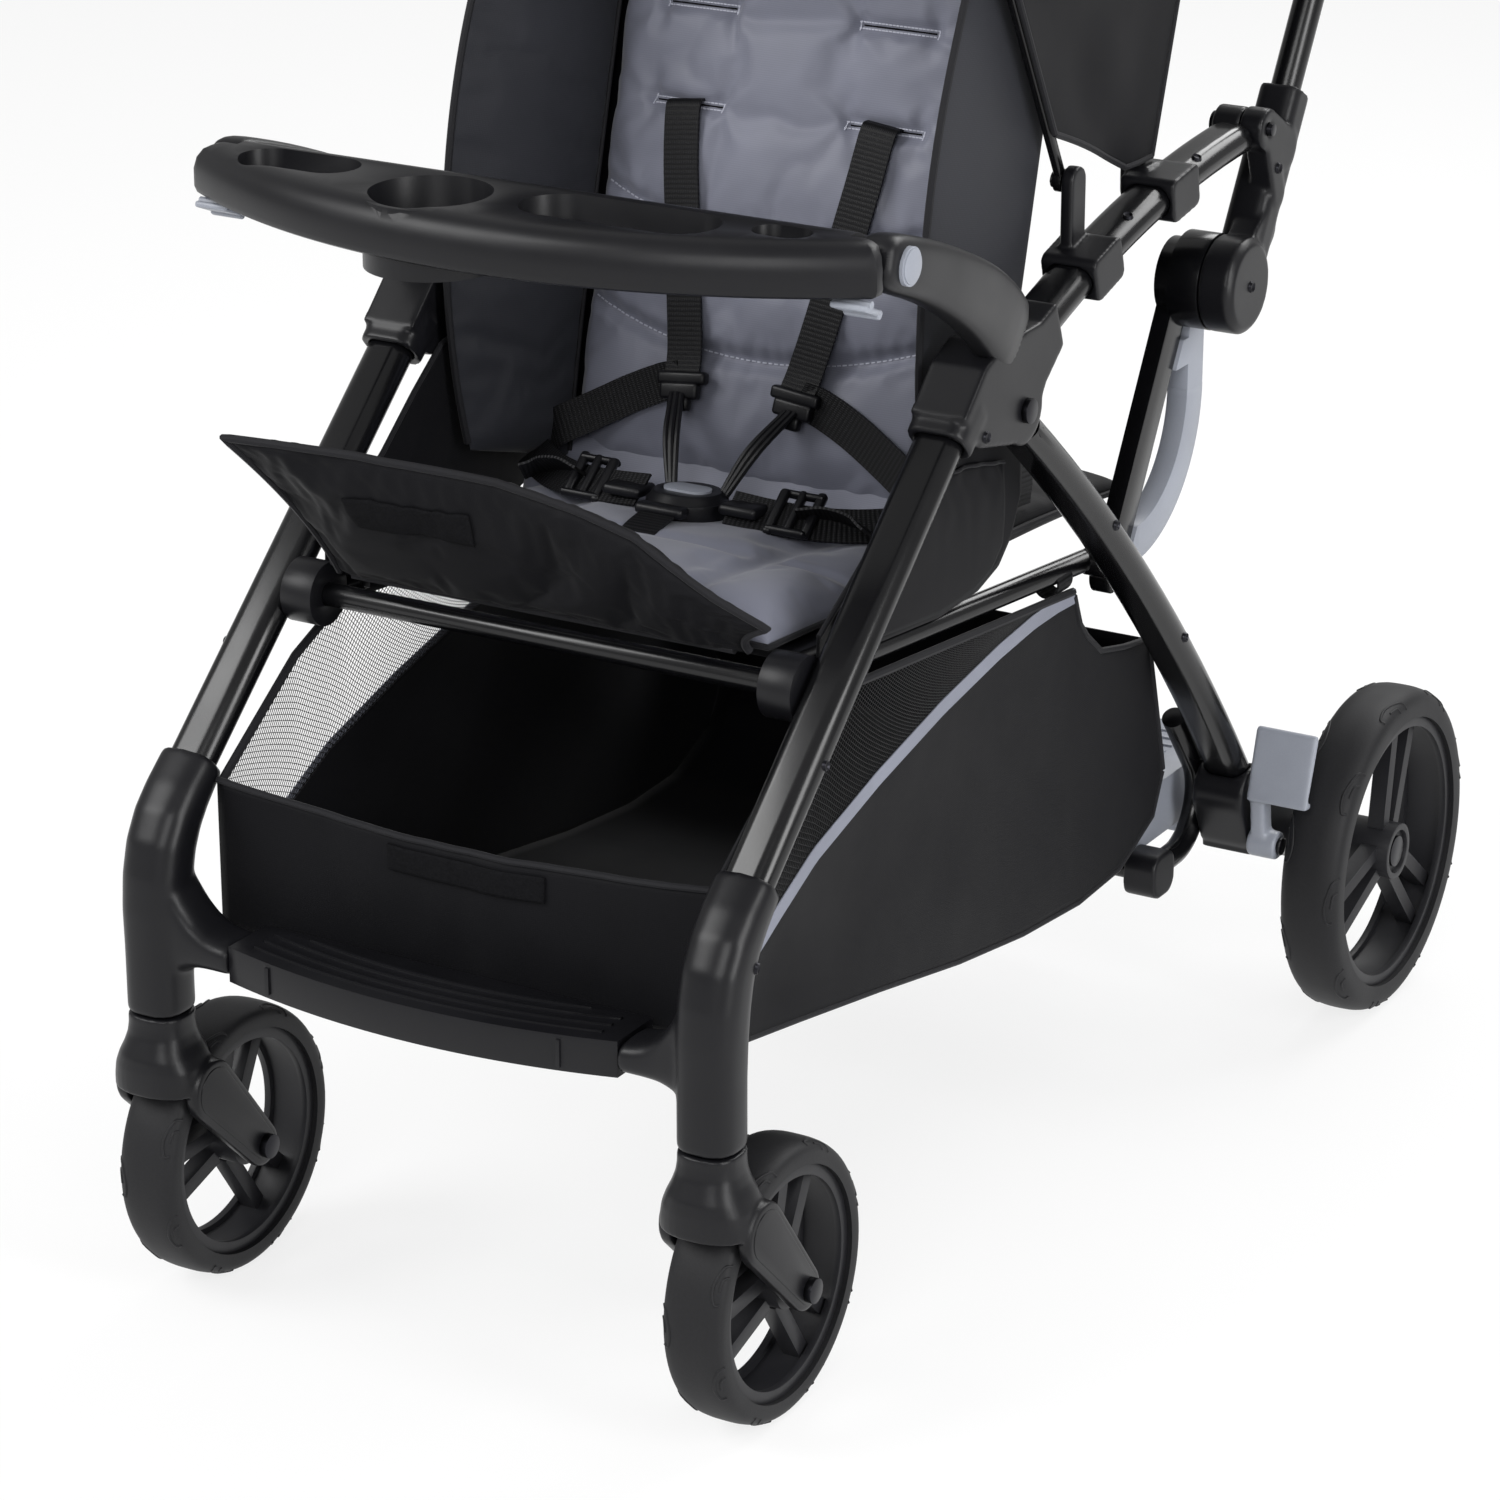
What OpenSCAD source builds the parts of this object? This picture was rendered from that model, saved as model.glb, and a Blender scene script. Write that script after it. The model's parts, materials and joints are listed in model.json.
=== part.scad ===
// Tandem sit-and-stand stroller. Millimetres. Z up, front of the stroller toward -Y, X across.
// Origin on the floor, midway between the foremost and rearmost points of the wheels.

/* [Wheels] */
// Distance from the front axles to the rear axle
wheelbase = 809; // [780:1:840]
// Outer diameter of a front wheel
front_wheel_d = 190.5; // [180:0.5:200]
// Width of a front tyre
front_wheel_w = 44; // [38:1:48]
// Thickness of the front foam tyre
front_tyre_t = 15.5; // [12:0.5:20]
// Distance between the middles of the front wheels, the leg tubes stand over them
front_track = 427; // [415:1:440]
// Outer diameter of a rear wheel
rear_wheel_d = 254; // [240:1:262]
// Width of a rear tyre
rear_wheel_w = 47; // [40:1:50]
// Thickness of the rear foam tyre
rear_tyre_t = 21.5; // [18:0.5:26]
// Distance between the middles of the rear wheels
rear_track = 575; // [568:1:600]
// Number of twin spokes in a rim
spoke_pairs = 3; // [3:1:5]
// Width of one spoke
spoke_w = 11; // [8:0.5:13]
// Diameter of the front axle bolts
front_axle_d = 10; // [8:0.5:12]
// Diameter of the rear axle where the wheels run
rear_axle_d = 12; // [10:0.5:14]

/* [Casters] */
// Distance from the swivel axis back to the wheel's axle
caster_trail = 64; // [55:1:70]
// Height of the seam between the fork's collar and the casting, above the axle
collar_rise = 119.75; // [116:0.25:126]
// Diameter of the collar and of the casting's column
collar_d = 42; // [38:1:46]
// Diameter of the swivel stem
stem_d = 14; // [12:0.5:16]
// Thickness of a fork arm
fork_t = 8; // [6:0.5:10]

/* [Frame] */
// Width of the oval frame tube, across the stroller
tube_w = 34; // [30:1:36]
// Thickness of the oval frame tube
tube_t = 22; // [19:1:24]
// Wall of the frame tubes
tube_wall = 1.6; // [1.2:0.1:2.5]
// Rake of the front legs above the horizontal
leg_angle = 42; // [40:0.5:44]
// Height where the front leg's line meets the swivel axis
leg_foot_z = 336; // [330:1:342]
// Length of the front leg's line from there to the middle of the hub
leg_len = 416; // [408:1:424]
// Rear leg pivot behind the hub's middle
rear_pivot_y = 65; // [62:1:68]
// Rear leg pivot below the hub's middle
rear_pivot_drop = 13.4; // [12:0.2:16]
// Bulge of the bowed rear leg
rear_leg_bow = 20; // [14:1:24]
// Handle pivot behind the hub's middle
handle_pivot_y = 434; // [426:1:442]
// Handle pivot above the hub's middle
handle_pivot_rise = 97.6; // [92:0.2:104]
// Bulge of the upper tube
upper_bow = 14; // [10:1:18]
// Diameter of the frame pivot pins
pivot_d = 9; // [8:0.5:10]

/* [Handle] */
// Lean of the handle back from upright
handle_lean = 31; // [28:0.5:33]
// Height of the middle of the grip
grip_z = 1012; // [1000:1:1016]
// Diameter of the handle tube
handle_d = 22; // [20:0.5:24]
// Bend radius of the handle tube's corners
handle_bend = 62; // [50:1:75]
// Diameter of the foam grip
grip_d = 33; // [30:0.5:36]
// Fold drum ahead of the handle pivot
drum_y = 30; // [27:0.5:33]
// Fold drum below the handle pivot
drum_drop = 108; // [104:1:112]
// Diameter of the fold drum
drum_d = 70; // [64:1:74]

/* [Seat] */
// Place of the seat bar along the front leg's line
seat_bar_at = 200; // [194:1:206]
// Diameter of the seat bar and of the side rails
rail_d = 16; // [14:1:18]
// Distance of each rail from the middle
rail_x = 180; // [176:1:181]
// Length of the side rails
rail_len = 435; // [425:1:440]
// Fall of the rails toward the back
seat_pitch = 5.6; // [4.5:0.1:6.5]
// Depth of the front seat's pad
seat_depth = 250; // [240:1:256]
// Thickness of the pads
pad_t = 33; // [28:1:36]
// Lean of the backrest from upright
back_lean = 14.7; // [13:0.1:16]
// Height of the backrest along its lean
back_len = 492; // [470:1:496]
// Reach of the back pad's side wings past the board
wing_reach = 128; // [110:1:132]
// Length of the leg flap
flap_len = 140; // [120:1:148]
// Lift of the leg flap above the horizontal
flap_lift = 50; // [45:1:55]

/* [Tray] */
// Height of the tray's lower edge
tray_z = 738; // [732:1:744]
// Height of the tray's body
tray_h = 34; // [30:1:38]
// Foremost point of the tray ahead of its pivots
tray_reach = 114; // [104:1:120]
// Depth of the cup recess below the top
cup_depth = 46; // [40:1:50]
// Diameter of the round tray buttons
button_d = 25; // [22:0.5:26]
// Travel of the tray buttons
button_travel = 3; // [2:0.5:4]

/* [Canopy] */
// Half width of the canopy's cloth
canopy_x = 203.4; // [202:0.2:204]
// Height of the canopy's top
canopy_top = 992; // [980:1:996]
// Diameter of the canopy's bows
bow_d = 8; // [6:0.5:9]
// Thickness of the cloth
cloth_t = 3; // [2:0.5:4]

/* [Rear] */
// Width of the standing platform
platform_w = 344; // [320:2:346]
// Height of the platform's top
platform_z = 205; // [198:1:210]
// Depth of the platform, front to back
platform_l = 158; // [150:1:160]
// Diameter of the bent platform tube
platform_tube_d = 18; // [16:1:20]

/* [Clearances] */
// Radial running clearance of pins
run_gap = 0.06; // [0.05:0.01:0.1]
// Gap between parts that stay still
fit_gap = 0.15; // [0.1:0.05:0.25]
// Gap between faces that move past each other
move_gap = 0.35; // [0.3:0.05:0.5]

/* [Hidden] */
$fn = 48;
frame_x = front_track/2;
rear_x = rear_track/2;
front_r = front_wheel_d/2;
rear_r = rear_wheel_d/2;
front_axle_y = -(wheelbase + rear_r - front_r)/2;
rear_axle_y = front_axle_y + wheelbase;
caster_y = front_axle_y - caster_trail;
collar_z = front_r + collar_rise;
// Points of the side view are [y, z]
leg_foot = [caster_y, leg_foot_z];
leg_dir = [cos(leg_angle), sin(leg_angle)];
leg_nor = [-sin(leg_angle), cos(leg_angle)];
hub = leg_foot + leg_len*leg_dir;
rear_pivot = hub + [rear_pivot_y, -rear_pivot_drop];
handle_pivot = hub + [handle_pivot_y, handle_pivot_rise];
drum = handle_pivot - [drum_y, drum_drop];
rear_axle = [rear_axle_y, rear_r];
leg_end = rear_axle + [-91.5, 63];
link_foot = rear_pivot + [230, -191];
handle_dir = [sin(handle_lean), cos(handle_lean)];
handle_nor = [cos(handle_lean), -sin(handle_lean)];
arm_x = frame_x + 6;
arm_base = handle_pivot + 46*handle_nor;
grip_run = (grip_z - arm_base[1])/cos(handle_lean);
seat_at = leg_foot + seat_bar_at*leg_dir;
seat_n = rail_d/2;
board_t = 8;
hinge_s = 281;
hinge_n = 20;
back_at = seat_at + [hinge_s*cos(seat_pitch) + hinge_n*sin(seat_pitch),
    hinge_n*cos(seat_pitch) - hinge_s*sin(seat_pitch)];
tray_pivot = [hub[0] - 143, tray_z + 13.5];
arm_in = frame_x + 15.5;
arm_out = arm_in + 28;
seam_r = 30;
basket_x = rail_x + rail_d/2 + move_gap + 3;
bow_front = [hub[0] + 185, hub[1] + 110.6];
bow_rear = [hub[0] + 303, hub[1] + 90.6];
bow_x = canopy_x - cloth_t - bow_d/2 - 0.4;
front_bow_lean = 29;
rear_bow_lean = 18.3;
link_x = 177;
link_t = 13;
brake_at = leg_end + [-19, -30];

// Helpers

// A side view outline in [y, z], extruded across the stroller from x0 to x1
module side(x0, x1) translate([x0, 0, 0]) rotate([90, 0, 90]) linear_extrude(x1 - x0) children();

// The right-hand part and its mirror image
module both() {
    children();
    mirror([1, 0, 0]) children();
}

// A round bar along X
module across(p, x0, x1, d) side(x0, x1) translate(p) circle(d = d);

// An oval with its long side along the first axis
module oval(w, h) {
    square([w - h, h], center = true);
    for (s = [-1, 1]) translate([s*(w - h)/2, 0]) circle(h/2);
}

module round_rect(w, h, r) {
    square([w - 2*r, h], center = true);
    square([w, h - 2*r], center = true);
    for (i = [-1, 1], j = [-1, 1]) translate([i*(w/2 - r), j*(h/2 - r)]) circle(r);
}

function length(v) = sqrt(v[0]*v[0] + v[1]*v[1]);

// A straight bar from p to q in the plane X = x, its section's first axis along X
module bar(x, p, q) translate([x, p[0], p[1]]) rotate([atan2(q[1] - p[1], q[0] - p[0]) - 90, 0, 0])
    linear_extrude(length(q - p)) children();

// A bar bowed to the left of its run by sag, its section's first axis along X
module bowed(x, p, q, sag) {
    l = length(q - p);
    r = (l*l/4 + sag*sag)/(2*sag);
    n = [-(q[1] - p[1]), q[0] - p[0]]/l;
    c = (p + q)/2 + n*(sag - r);
    a0 = atan2(q[1] - c[1], q[0] - c[0]);
    a1 = atan2(p[1] - c[1], p[0] - c[0]);
    translate([x, c[0], c[1]]) rotate([90, 0, 90])
        rotate_extrude(angle = a1 - a0, start = a0, $fn = 180) translate([r, 0]) rotate(90) children();
}

// A flat bar outline between two points of the side view
module strip(p, q, w) {
    translate(p) rotate(atan2(q[1] - p[1], q[0] - p[0])) translate([0, -w/2]) square([length(q - p), w]);
    translate(p) circle(d = w);
    translate(q) circle(d = w);
}

module tube_section(grow = 0) oval(tube_w + 2*grow, tube_t + 2*grow);

module hollow_section() difference() {
    tube_section();
    tube_section(-tube_wall);
}

module seat_frame() translate([0, seat_at[0], seat_at[1]]) rotate([-seat_pitch, 0, 0]) children();

module back_frame() translate([0, back_at[0], back_at[1]]) rotate([-back_lean, 0, 0]) children();

// An arch of round wire in its own upright plane
module arch(half, h, r, d) {
    for (s = [-1, 1]) translate([s*half, 0, 0]) cylinder(d = d, h = h - r);
    translate([half - r, 0, h - r]) rotate([90, 0, 0]) rotate_extrude(angle = 90)
        translate([r, 0]) circle(d = d);
    translate([r - half, 0, h - r]) rotate([90, 0, 0]) rotate_extrude(angle = 90, start = 90)
        translate([r, 0]) circle(d = d);
    translate([r - half, 0, h]) rotate([0, 90, 0]) cylinder(d = d, h = 2*(half - r));
}

// A closed solid from two grids of points of the same size, the second one lying under the first
module shell(top, low) {
    nu = len(top) - 1;
    nv = len(top[0]) - 1;
    m = nv + 1;
    k = (nu + 1)*m;
    points = concat([for (r = top) for (p = r) p], [for (r = low) for (p = r) p]);
    faces = concat(
        [for (i = [0:nu - 1], j = [0:nv - 1]) [i*m + j, i*m + j + 1, (i + 1)*m + j + 1]],
        [for (i = [0:nu - 1], j = [0:nv - 1]) [i*m + j, (i + 1)*m + j + 1, (i + 1)*m + j]],
        [for (i = [0:nu - 1], j = [0:nv - 1]) [k + i*m + j, k + (i + 1)*m + j + 1, k + i*m + j + 1]],
        [for (i = [0:nu - 1], j = [0:nv - 1]) [k + i*m + j, k + (i + 1)*m + j, k + (i + 1)*m + j + 1]],
        [for (i = [0:nu - 1]) [i*m, (i + 1)*m, k + (i + 1)*m]],
        [for (i = [0:nu - 1]) [i*m, k + (i + 1)*m, k + i*m]],
        [for (i = [0:nu - 1]) [i*m + nv, k + i*m + nv, k + (i + 1)*m + nv]],
        [for (i = [0:nu - 1]) [i*m + nv, k + (i + 1)*m + nv, (i + 1)*m + nv]],
        [for (j = [0:nv - 1]) [j, k + j, k + j + 1]],
        [for (j = [0:nv - 1]) [j, k + j + 1, j + 1]],
        [for (j = [0:nv - 1]) [nu*m + j, nu*m + j + 1, k + nu*m + j + 1]],
        [for (j = [0:nv - 1]) [nu*m + j, k + nu*m + j + 1, k + nu*m + j]]);
    polyhedron(points, faces, convexity = 6);
}

// Depth of a sewn channel at distance d from its line
function channel(d, depth, half) = abs(d) < half ? depth*(0.5 + 0.5*cos(180*d/half)) : 0;

// Height of a stuffed form over its flat side, 1 in the middle and falling to the sewn edge
function stuffed(u, v) = pow(max(0, 1 - pow(abs(u), 5)), 0.5)*pow(max(0, 1 - pow(abs(v), 5)), 0.5);

// Wheels

module tyre(d, w, t) rotate([0, 90, 0]) rotate_extrude($fn = 64) translate([d/2 - t, 0]) {
    s = min(t, w/2)*0.48;
    translate([0, -w/2]) square([t - s, w]);
    translate([0, s - w/2]) square([t, w - 2*s]);
    for (k = [-1, 1]) translate([t - s, k*(w/2 - s)]) circle(s, $fn = 24);
}

// Two spokes side by side with a slot between them, along the first axis
module spoke_pair(r0, r1) for (s = [-1, 1])
    polygon([[r0, s*spoke_w*0.85 - spoke_w/2], [r1, s*spoke_w*1.5 - spoke_w/2],
        [r1, s*spoke_w*1.5 + spoke_w/2], [r0, s*spoke_w*0.85 + spoke_w/2]]);

// Rim standing along X, its dished face toward +X
module rim(d, w, hub_d, bore, turn) rotate([0, 90, 0]) difference() {
    union() {
        rotate_extrude($fn = 64) {
            translate([d/2 - 4, 4 - w/2]) square([4 - fit_gap, w - 8]);
            translate([d/2 - 8, w/2 - 9]) square([7, 5]);
            translate([d/2 - 8, 4 - w/2]) square([7, 5]);
        }
        cylinder(d = hub_d, h = w - 4, center = true);
        translate([0, 0, w/2 - 24]) linear_extrude(13) for (k = [0:spoke_pairs - 1])
            rotate(k*360/spoke_pairs + turn) spoke_pair(hub_d*0.38, d/2 - 6.5);
    }
    cylinder(r = bore, h = 2*w, center = true);
    translate([0, 0, w/2 - 6]) cylinder(d = hub_d - 10, h = 10);
}

module front_tyre() translate([frame_x, front_axle_y, front_r])
    tyre(front_wheel_d, front_wheel_w, front_tyre_t);

module front_rim() translate([frame_x, front_axle_y, front_r])
    rim(front_wheel_d - 2*front_tyre_t, front_wheel_w, 34, front_axle_d/2 + run_gap, 40);

module rear_tyre() translate([rear_x, rear_axle_y, rear_r])
    tyre(rear_wheel_d, rear_wheel_w, rear_tyre_t);

module rear_rim() translate([rear_x, rear_axle_y, rear_r])
    rim(rear_wheel_d - 2*rear_tyre_t, rear_wheel_w, 44, rear_axle_d/2 + run_gap, 47);

// Casters

fork_in = front_wheel_w/2 + 3;
fork_out = fork_in + fork_t;

module fork_outline() {
    a = [front_axle_y, front_r];
    polygon([[caster_y - 30, collar_z - 72], [caster_y - 30, collar_z - 48], [caster_y - 20, collar_z - 24],
        [caster_y + 22, collar_z - 16], [caster_y + 40, collar_z - 26], a + [17, 6], a + [0, -18],
        a + [-17, -6]]);
    translate(a) circle(18);
}

// The raised panel on the outside of a fork arm
module fork_panel() {
    a = [front_axle_y, front_r];
    polygon([[caster_y + 2, collar_z - 42], [caster_y + 26, collar_z - 38], a + [8, 22], a + [-6, 20]]);
}

module caster_fork() translate([frame_x, 0, 0]) difference() {
    union() {
        side(-fork_out, fork_out) fork_outline();
        side(-fork_out - 1.5, fork_out + 1.5) fork_panel();
        translate([0, caster_y, collar_z - 38]) cylinder(d = collar_d, h = 38 - move_gap);
    }
    across([front_axle_y, front_r], -fork_in, fork_in, front_wheel_d + 9);
    across([front_axle_y, front_r], -fork_out - 5, fork_out + 5, front_axle_d + 2*fit_gap);
    translate([0, caster_y, collar_z - 36]) cylinder(d = stem_d + 2*fit_gap, h = 50);
}

module caster_pins() translate([frame_x, 0, 0]) {
    translate([0, caster_y, collar_z - 35.5]) cylinder(d = stem_d, h = 108);
    across([front_axle_y, front_r], -fork_out - 6, fork_out + 6, front_axle_d);
    for (s = [-1, 1]) across([front_axle_y, front_r], s*(fork_out + 4.3) - 2.5, s*(fork_out + 4.3) + 2.5, 17);
}

// Front legs

sleeve_len = 62;

module casting() difference() {
    union() {
        translate([frame_x, caster_y, collar_z]) cylinder(d = collar_d, h = leg_foot_z - collar_z);
        translate([frame_x, caster_y, leg_foot_z]) sphere(d = collar_d);
        bar(frame_x, leg_foot - 6*leg_dir, leg_foot + sleeve_len*leg_dir)
            round_rect(tube_w + 9, tube_t + 9, 11);
        hull() {
            translate([frame_x, caster_y + 1, collar_z + 40]) cylinder(d = collar_d - 5, h = 62);
            translate([foot_x, foot_y0 + 18, foot_z - 23]) cube([1, foot_l - 22, 22]);
        }
    }
    bar(frame_x, leg_foot + 16*leg_dir, leg_foot + (sleeve_len + 30)*leg_dir) tube_section(fit_gap);
    translate([frame_x, caster_y, collar_z - 1]) cylinder(r = stem_d/2 + run_gap, h = 76);
}

foot_x = 150;
foot_y0 = caster_y - 30;
foot_l = 64;
foot_z = collar_z + 61;

// The footrest's plan, drawn in by e on every edge
module foot_plan(e) {
    r = 546;
    intersection() {
        translate([0, foot_y0 + r]) circle(r - e, $fn = 240);
        translate([e - foot_x, foot_y0 - 1]) square([2*foot_x - 2*e, foot_l - e + 1]);
    }
}

module footrest() {
    difference() {
        translate([0, 0, foot_z - 25]) linear_extrude(25) foot_plan(fit_gap);
        translate([0, 0, foot_z - 30]) linear_extrude(26) foot_plan(4);
    }
    translate([0, 0, foot_z - 0.5]) linear_extrude(1.6) intersection() {
        translate([0, foot_y0 + 546]) for (k = [1:4]) difference() {
            circle(546 - 11*k, $fn = 240);
            circle(543 - 11*k, $fn = 240);
        }
        translate([16 - foot_x, foot_y0]) square([2*foot_x - 32, foot_l - 8]);
    }
    for (k = [-2:2]) translate([56*k - 1.5, foot_y0 + 10, foot_z - 22]) cube([3, foot_l - 14, 19]);
}

module front_leg() bar(frame_x, leg_foot + 17*leg_dir, leg_foot + (leg_len + 2)*leg_dir) hollow_section();

// Hubs

hub_in = frame_x - 20;
hub_out = frame_x + 21;
cap_out = frame_x + 11;
upper_start = hub + [95, 24];

module hub_outline() {
    translate(hub) polygon([[-22.5, 2.6], [6, 30], [30, 40], [84, 42], [107, 50], [119, 18], [94, -2],
        [86, -14], [70, -35], [44, -32], [0.2, -22.7]]);
    translate(rear_pivot) circle(24);
}

module hub_knot() difference() {
    union() {
        side(hub_in, hub_out) hub_outline();
        bar(frame_x, hub - 26*leg_dir, hub + 4*leg_dir) round_rect(tube_w + 9, tube_t + 9, 11);
    }
    bar(frame_x, hub - 60*leg_dir, hub + 3*leg_dir) tube_section(fit_gap);
    bowed(frame_x, upper_start, upper_end, upper_bow) tube_section(fit_gap);
    side(hub_in - 1, cap_out + move_gap) {
        translate(rear_pivot) circle(26);
        translate(rear_pivot) polygon([[0, 0], [60, 22], [90, -20], [60, -90], [0, -60]]);
    }
    across(rear_pivot, hub_in - 2, hub_out + 2, pivot_d + 2*fit_gap);
}

module upper_tube() difference() {
    bowed(frame_x, upper_start, upper_end, upper_bow) hollow_section();
    across(handle_pivot, frame_x - 40, frame_x + 40, 36);
}

block_out = frame_x + 4.6;

module tube_end_block() difference() {
    union() {
        across(handle_pivot, frame_x - 17, block_out, 28);
        difference() {
            bowed(frame_x, upper_start, upper_end, upper_bow)
                oval(tube_w - 2*tube_wall - 0.8, tube_t - 2*tube_wall - 0.8);
            side(frame_x - 40, frame_x + 40) translate(handle_pivot + [-540, -400]) square([505, 700]);
            across(handle_pivot, block_out, frame_x + 40, 35);
        }
    }
    across(handle_pivot, frame_x - 40, frame_x + 40, pivot_d + 2*fit_gap);
}

// The fold's pins stand still in the hubs and the end blocks
module pivot_pin() {
    across(rear_pivot, frame_x - 17, hub_out + 3, pivot_d);
    across(rear_pivot, hub_out + 0.3, hub_out + 4, pivot_d + 8);
    across(handle_pivot, frame_x - 19, arm_x + 20, pivot_d);
    across(handle_pivot, frame_x - 21, frame_x - 17.3, pivot_d + 8);
}

// Tray arms

module arm_slice(x, p, a, w, h) translate([x, p[0], p[1]]) rotate([a - 90, 0, 0])
    linear_extrude(1) round_rect(w, h, 9);

module tray_arm() difference() {
    union() {
        hull() {
            arm_slice(frame_x + 8, hub + [66, 30], 146, 26, 58);
            arm_slice(frame_x + 23, hub + [-42, 92], 152, 27, 44);
        }
        hull() {
            arm_slice(frame_x + 22.6, hub + [-39, 90.3], 152, 26.4, 43.4);
            arm_slice(arm_in + 14, tray_pivot, 160, 28, 38);
        }
        side(arm_in + 0.4, arm_out - 0.4) intersection() {
            translate(tray_pivot) circle(seam_r);
            translate(tray_pivot) rotate(-20) translate([-40, -18.5]) square([48, 37]);
        }
    }
    side(hub_in - 1, hub_out + 0.3) offset(delta = fit_gap) hub_outline();
    side(hub_in - 1, frame_x + 40) translate(rear_pivot) circle(26);
    across(tray_pivot, arm_in - 1, arm_out - 12, 10 + 2*run_gap);
    across(tray_pivot, arm_in - 8, arm_in + move_gap, 2*seam_r + 4);
    across(tray_pivot, arm_out - 9, arm_out + 2, button_d + 2*move_gap);
    bar(frame_x, upper_start, upper_start + [60, 20]) tube_section(fit_gap);
}

module tray_button() {
    across(tray_pivot, arm_out - 6 + button_travel - 2, arm_out + 2, button_d - 0.01);
    across(tray_pivot, arm_out + 1.99, arm_out + 3, button_d - 3);
}

// Tray

tray_front = tray_pivot[0] - tray_reach;
tray_half = arm_out - 2;

// The tray's plan drawn in by e
module tray_plan(e) {
    r = 461;
    intersection() {
        translate([0, tray_front + r]) circle(r - e, $fn = 240);
        translate([e - tray_half, tray_front - 1]) square([2*tray_half - 2*e, tray_reach + 1 - e]);
    }
}

module child_tray() difference() {
    union() {
        hull() {
            translate([0, 0, tray_z]) linear_extrude(1) tray_plan(5);
            translate([0, 0, tray_z + 2]) linear_extrude(1) tray_plan(1.5);
            translate([0, 0, tray_z + 6]) linear_extrude(tray_h*0.35) tray_plan(0);
            translate([0, 0, tray_z + tray_h*0.72]) linear_extrude(1) tray_plan(2);
            translate([0, 0, tray_z + tray_h - 4]) linear_extrude(1) tray_plan(6);
            translate([0, 0, tray_z + tray_h - 1.2]) linear_extrude(0.5) tray_plan(10.5);
            translate([0, 0, tray_z + tray_h]) linear_extrude(0.5) tray_plan(16);
        }
        translate([-52, tray_pivot[0] - 62, tray_z + tray_h - 1 - cup_depth]) cylinder(d = 88, h = cup_depth);
        both() {
            side(arm_in - 9, arm_in - 1.5) {
                translate(tray_pivot) circle(15);
                translate(tray_pivot) translate([-40, -12]) square([40, 27]);
            }
            across(tray_pivot, arm_in - 3, arm_out - 14, 10);
        }
    }
    // left oval recess, cup, long right recess and a small one at the end
    translate([-168, tray_pivot[0] - 40, tray_z + tray_h - 20]) linear_extrude(40) oval(88, 42);
    translate([-52, tray_pivot[0] - 62, tray_z + tray_h + 3 - cup_depth]) cylinder(d = 80, h = 80);
    translate([80, tray_pivot[0] - 50, tray_z + tray_h - 16]) linear_extrude(40) oval(140, 54);
    translate([188, tray_pivot[0] - 36, tray_z + tray_h - 12]) linear_extrude(40) oval(40, 26);
    both() {
        across(tray_pivot, arm_in - move_gap, arm_out + 6, 2*seam_r + 2*move_gap);
        side(arm_in - move_gap, arm_out + 6) translate(tray_pivot) translate([-seam_r + 6, -40])
            square([60, 90]);
    }
    both() across(tray_pivot + [0, 0], arm_in - 40, arm_in - 9, 34);
}

lever_at = [tray_pivot[0] - 36, tray_z - 3.5];

// A flat paddle under the tray's end, hinged at its front edge
module tray_lever() {
    across(lever_at, arm_in - 4, arm_out - 6, 6);
    side(arm_in - 4, arm_out - 6) strip(lever_at, lever_at + [-6, -20], 5);
    side(arm_in - 12, arm_out - 10) strip(lever_at + [-5, -16], lever_at + [-12, -26], 5);
}

// Rear frame

module rear_leg() difference() {
    bowed(frame_x, rear_pivot, leg_end, rear_leg_bow) hollow_section();
    across(rear_pivot, frame_x - 40, frame_x + 40, 66);
}

module rear_leg_cap() difference() {
    union() {
        across(rear_pivot, frame_x - 16, cap_out, 42);
        difference() {
            bowed(frame_x, rear_pivot, leg_end, rear_leg_bow)
                oval(tube_w - 2*tube_wall - 2*fit_gap, tube_t - 2*tube_wall - 2*fit_gap);
            side(frame_x - 60, frame_x + 60) difference() {
                translate(rear_pivot) circle(900);
                translate(rear_pivot) circle(70);
            }
            across(rear_pivot, cap_out, frame_x + 40, 62);
        }
    }
    across(rear_pivot, frame_x - 40, frame_x + 40, pivot_d + 2*run_gap);
}

bracket_in = frame_x - 15;
bracket_out = frame_x + 16;

module axle_bracket() {
    difference() {
        side(frame_x - tube_w/2 - 3, bracket_out + 5) {
            strip(leg_end + [-16, 6], leg_end + [-2, -22], 46);
            translate(rear_axle) circle(21);
            translate(leg_end) polygon([[-18, -44], [12, -42], [84, -82], [104, -48], [20, 0], [-4, 14]]);
        }
        bowed(frame_x, rear_pivot, leg_end + [0, 0], rear_leg_bow) tube_section(fit_gap);
        across(rear_axle, bracket_in - 20, bracket_out + 20, 16 + 2*fit_gap);
    }
    across(brake_at, bracket_out + 4, bracket_out + 30, 10);
    across(brake_at, bracket_out + 29, bracket_out + 32, 15);
}

module rear_axle_bar() {
    across(rear_axle, -rear_x + rear_wheel_w/2 + 4, rear_x - rear_wheel_w/2 - 4, 16);
    across(rear_axle, -rear_x - rear_wheel_w/2 + 8, rear_x + rear_wheel_w/2 - 8, rear_axle_d);
    both() across(rear_axle, rear_x + rear_wheel_w/2 - 6 + move_gap, rear_x + rear_wheel_w/2 - 3, 24);
    both() across(rear_axle, rear_x + rear_wheel_w/2 - 9, rear_x + rear_wheel_w/2 - 3, rear_axle_d);
}

platform_y = rear_axle_y - 18 - platform_l;

module platform_plan(e) translate([0, platform_y + platform_l/2])
    round_rect(platform_w - 2*e, platform_l - 2*e, 18 - e/2);

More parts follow.
